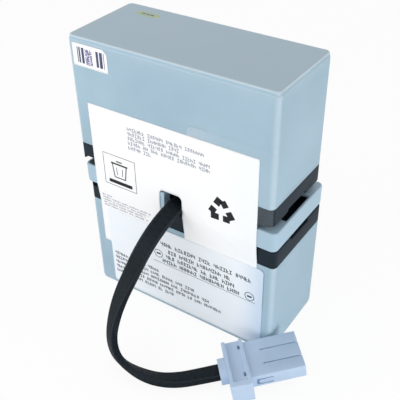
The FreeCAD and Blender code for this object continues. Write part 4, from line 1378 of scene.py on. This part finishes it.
# --- Cable and connector ----------------------------------------------------------------------
@dataclass
class SleevedCable:
    """The sleeved cable: a flat oval section carried along one smooth route."""

    width: float = 11.6 * MM
    thickness: float = 5.4 * MM
    squareness: float = 5.0
    around: int = 40
    steps: int = 16
    evened: int = 15
    # The sleeve's own twist: degrees at shares of its length.
    turn_shares: tuple = (0, 0.25, 0.42, 0.6, 0.66, 0.75, 0.85, 1)
    turn_degrees: tuple = (-25, -20, 2, 33, 57, 92, 111, 119)
    route: tuple = (
        (0.0010, -0.0220, 0.0997),
        (0.0010, -0.0390, 0.0997),
        (-0.0018, -0.0545, 0.0912),
        (-0.0070, -0.0640, 0.0762),
        (-0.0140, -0.0670, 0.0580),
        (-0.0192, -0.0727, 0.0420),
        (-0.0208, -0.0808, 0.0272),
        (-0.0173, -0.0908, 0.0143),
        (-0.0062, -0.0980, 0.0080),
        (0.0092, -0.0988, 0.0058),
        (0.0245, -0.0968, 0.0054),
        (0.0378, -0.0897, 0.0056),
        (0.0500, -0.0777, 0.0063),
        (0.0603, -0.0681, 0.0078),
    )

    def line(self) -> Array:
        """Read the route's smooth line from a NURBS curve with no bevel.

        Returns:
            Points along the line, of shape (n, 3).
        """
        data = bpy.data.curves.new("cable_line", "CURVE")
        data.dimensions = "3D"
        spline = data.splines.new("NURBS")
        spline.points.add(len(self.route) - 1)
        for point, place in zip(spline.points, self.route):
            point.co = (*place, 1.0)
        spline.order_u = 3
        spline.use_endpoint_u = True
        spline.resolution_u = self.steps
        holder = new_object("cable_line", data)
        bpy.context.view_layer.update()
        mesh = bpy.data.meshes.new_from_object(holder)
        points = np.empty(3 * len(mesh.vertices))
        mesh.vertices.foreach_get("co", points)
        bpy.data.objects.remove(holder)
        bpy.data.curves.remove(data)
        bpy.data.meshes.remove(mesh)
        return points.reshape(-1, 3)

    def frames(self, line: Array) -> tuple[Array, Array]:
        """Carry the section's width direction along the line.

        It starts along X and is turned as little as the line allows from point to point. The
        sleeve's own twist is added to that: degrees over share of length, read between the
        stated turns and evened out over neighbouring points.

        Args:
            line: Points along the route.

        Returns:
            Width and thickness directions at each point, each of shape (n, 3).
        """
        run = np.gradient(line, axis=0)
        run /= np.linalg.norm(run, axis=1)[:, None]
        wide = np.empty_like(line)
        current = np.array([1.0, 0.0, 0.0])
        for number, ahead in enumerate(run):
            current = current - ahead * (current @ ahead)
            current /= np.linalg.norm(current)
            wide[number] = current
        thick = np.cross(run, wide)
        lengths = run_lengths(line)
        turn = np.interp(lengths / lengths[-1], self.turn_shares, self.turn_degrees)
        even = np.full(self.evened, 1 / self.evened)
        turn = np.convolve(np.pad(turn, self.evened // 2, "edge"), even, "valid")
        angle = np.radians(turn)[:, None]
        turned = wide * np.cos(angle) + thick * np.sin(angle)
        return turned, np.cross(run, turned)

    def build(self, with_pieces: list) -> None:
        """The section is a superellipse: a flat rectangle whose corners are well rounded, with its
        points spread evenly by angle. The corners carry a painted highlight.

        Args:
            with_pieces: Not used.
        """
        line = self.line()
        wide, thick = self.frames(line)
        angle = np.linspace(0.0, 2 * math.pi, self.around + 1)[:-1]
        section = np.stack([np.cos(angle), np.sin(angle)])
        across, through = np.sign(section) * np.abs(section) ** (2.0 / self.squareness)
        ring = (
            wide[:, None] * (self.width / 2 * across)[None, :, None]
            + thick[:, None] * (self.thickness / 2 * through)[None, :, None]
        )
        piece = capped_tube("cable_sleeve", line[:, None] + ring)
        self.map_run(piece, line)
        # A painted highlight along the four rounded corners of the section.
        painted_highlight = np.exp(-(((np.abs(across * through) - 0.9) / 0.1) ** 2))
        store_painted_highlight(piece, np.tile(painted_highlight, len(line)))
        piece.data.set_sharp_from_angle(angle=math.radians(60))
        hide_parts("cable")
        SLEEVE.settle(piece, "cable_sleeve")

    def map_run(self, piece: Object, line: Array) -> None:
        """Give the sleeve a map of true lengths: along the cable, and round it.

        Args:
            piece: The sleeve.
            line: Points along the route.
        """
        girth = math.pi * (self.width + self.thickness) / 2
        ring, step = np.divmod(grid_faces(len(line), self.around, around=True), self.around)
        v = girth * step / self.around
        v[:, 1:3] = np.where(v[:, 1:3] < v[:, :1], v[:, 1:3] + girth, v[:, 1:3])
        pairs = np.stack([run_lengths(line)[ring], v], axis=-1).reshape(-1)
        total = np.zeros(2 * len(piece.data.loops))
        total[: len(pairs)] = pairs
        layer = piece.data.uv_layers.new(name="run")
        layer.data.foreach_set("uv", total)


@dataclass
class Connector:
    """The two-pole power connector: mating block, collar, boot and its two contacts."""

    edge: float = 0.3 * MM

    def build(self) -> list[Object]:
        """Build the connector's pieces with softened edges.

        Returns:
            The pieces that go with the cable.
        """
        made = []
        for node in ("connector_housing", "connector_collar", "connector_boot"):
            piece = softened_copy(node + "_soft", node, self.edge)
            made.append(CONNECTOR_PC.settle(piece, "connector_plastic"))
        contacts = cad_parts["connector_contacts"]
        TINNED_BRASS.cover(contacts)
        return made + [contacts]


# --- Studio -----------------------------------------------------------------------------------
@dataclass(frozen=True)
class Lamp:
    """One soft area lamp that looks at the cartridge."""

    name: str
    place: tuple[float, float, float]
    size: float
    power: float
    target: tuple[float, float, float] = (0.0, -0.02, 0.09)

    def build(self) -> None:
        """Add the lamp."""
        data = bpy.data.lights.new(self.name, "AREA")
        data.shape, data.size, data.energy = "SQUARE", self.size, self.power
        lamp = new_object(self.name, data)
        lamp.location = self.place
        aim = Vector(self.target) - Vector(self.place)
        lamp.rotation_euler = aim.to_track_quat("-Z", "Y").to_euler()
        lamp.visible_camera = False


@dataclass
class Camera:
    """The main camera, with its viewing angle and lens."""

    azimuth: float = 33.65
    elevation: float = 36.61
    roll: float = -0.67
    place: tuple = (0.22062, -0.32819, 0.37131)
    lens: float = 62.35
    shift_x: float = -0.0144
    shift_y: float = 0.01735

    def build(self) -> None:
        """Add the camera and make it the scene's own.

        Its back points along (sin a cos e, -cos a cos e, sin e) for the azimuth a and the
        elevation e, and the roll turns it about that line.
        """
        a, e, r = (math.radians(v) for v in (self.azimuth, self.elevation, self.roll))
        back = Vector((math.sin(a) * math.cos(e), -math.cos(a) * math.cos(e), math.sin(e)))
        level = Vector((math.cos(a), math.sin(a), 0.0))
        above = back.cross(level)
        right = level * math.cos(r) + above * math.sin(r)
        up = above * math.cos(r) - level * math.sin(r)
        data = bpy.data.cameras.new("main_camera")
        data.sensor_width, data.lens, data.clip_start = 36.0, self.lens, 0.01
        data.shift_x, data.shift_y = self.shift_x, self.shift_y
        camera = new_object("main_camera", data)
        turn = Matrix((right, up, back)).transposed().to_4x4()
        camera.matrix_world = Matrix.Translation(Vector(self.place)) @ turn
        bpy.context.scene.camera = camera


@dataclass
class Studio:
    """A plain pale floor, a white surround and soft light."""

    floor_half: float = 4.0
    floor_points: int = 9
    floor_drop: float = 0.2 * MM
    floor_white: float = 0.86
    floor_glow: float = 1.03
    floor_lift: float = 0.88
    surround: float = 0.6
    lamps: tuple[Lamp, ...] = (
        Lamp("key_lamp", (-0.68, -0.9, 0.26), 0.8, 4.9),
        Lamp("low_lamp", (0.02, -0.6, 0.03), 0.4, 0.9, (0.0, -0.03, 0.0)),
        Lamp("side_lamp", (0.52, -0.05, 0.04), 0.2, 1.2, (0.08, -0.02, 0.0)),
        Lamp("top_lamp", (0.1, 0.1, 1.5), 1.2, 0.4),
    )

    def build(self) -> None:
        """Add the floor, the surround and the lamps."""
        across = np.linspace(-self.floor_half, self.floor_half, self.floor_points)
        x, y = np.meshgrid(across, across, indexing="ij")
        points = np.stack([x, y, np.full_like(x, -self.floor_drop)], axis=-1)
        faces = grid_faces(*x.shape)[:, ::-1]
        floor = mesh_piece("studio_floor", points, faces, smooth=False)
        floor.data.materials.append(self.floor_material())
        bpy.context.scene.world = self.world()
        for lamp in self.lamps:
            lamp.build()

    def world(self) -> World:
        """Make the surround: soft white light, and plain white to the camera and in gloss.

        Returns:
            The world.
        """
        made = bpy.data.worlds.new("studio")
        tree = bare_tree(made)
        sight = add_node(tree, "LightPath", out="Is Camera Ray")
        rays = {0: sight, 1: sight.node.outputs["Is Glossy Ray"]}
        seen = add_node(tree, "Math", rays, operation="MAXIMUM")
        level = {"Value": seen, "To Min": self.surround, "To Max": 1.0}
        strength = add_node(tree, "MapRange", level)
        white = {"Color": (1.0, 1.0, 1.0, 1.0), "Strength": strength}
        light = add_node(tree, "Background", white)
        add_node(tree, "OutputWorld", {"Surface": light})
        return made

    def floor_material(self) -> Material:
        """Make the floor's matt white, lifted to plain white where the camera sees it.

        Returns:
            The material.
        """
        made = bpy.data.materials.new("matt_white_floor")
        tree = bare_tree(made)
        sight = add_node(tree, "LightPath", out="Is Camera Ray")
        white = (self.floor_white, self.floor_white, self.floor_white, 1.0)
        bright = (self.floor_glow, self.floor_glow, self.floor_glow, 1.0)
        matt = add_node(tree, "BsdfDiffuse", {"Color": white})
        glow = add_node(tree, "Emission", {"Color": bright, "Strength": sight})
        lifted = add_node(tree, "MixShader", {0: self.floor_lift, 1: matt, 2: glow})
        both = add_node(tree, "MixShader", {0: sight, 1: matt, 2: lifted})
        add_node(tree, "OutputMaterial", {"Surface": both})
        return made


def main() -> None:
    """Build the camera, the cable, the rest of the cartridge and the studio, in that order."""
    logging.basicConfig(level=logging.INFO, format="%(message)s")
    bpy.context.view_layer.update()
    bpy.context.scene.view_settings.view_transform = "Standard"
    Camera().build()
    SleevedCable().build(Connector().build())
    for place in Place:
        Battery(place).build()
    SpacerAndWires().build()
    CartridgeLabel().build()
    BatteryLabel().build()
    WrappedFilm().build()
    BarcodeLabel().build()
    TopMark().build()
    Studio().build()


if __name__ == "__main__":
    main()
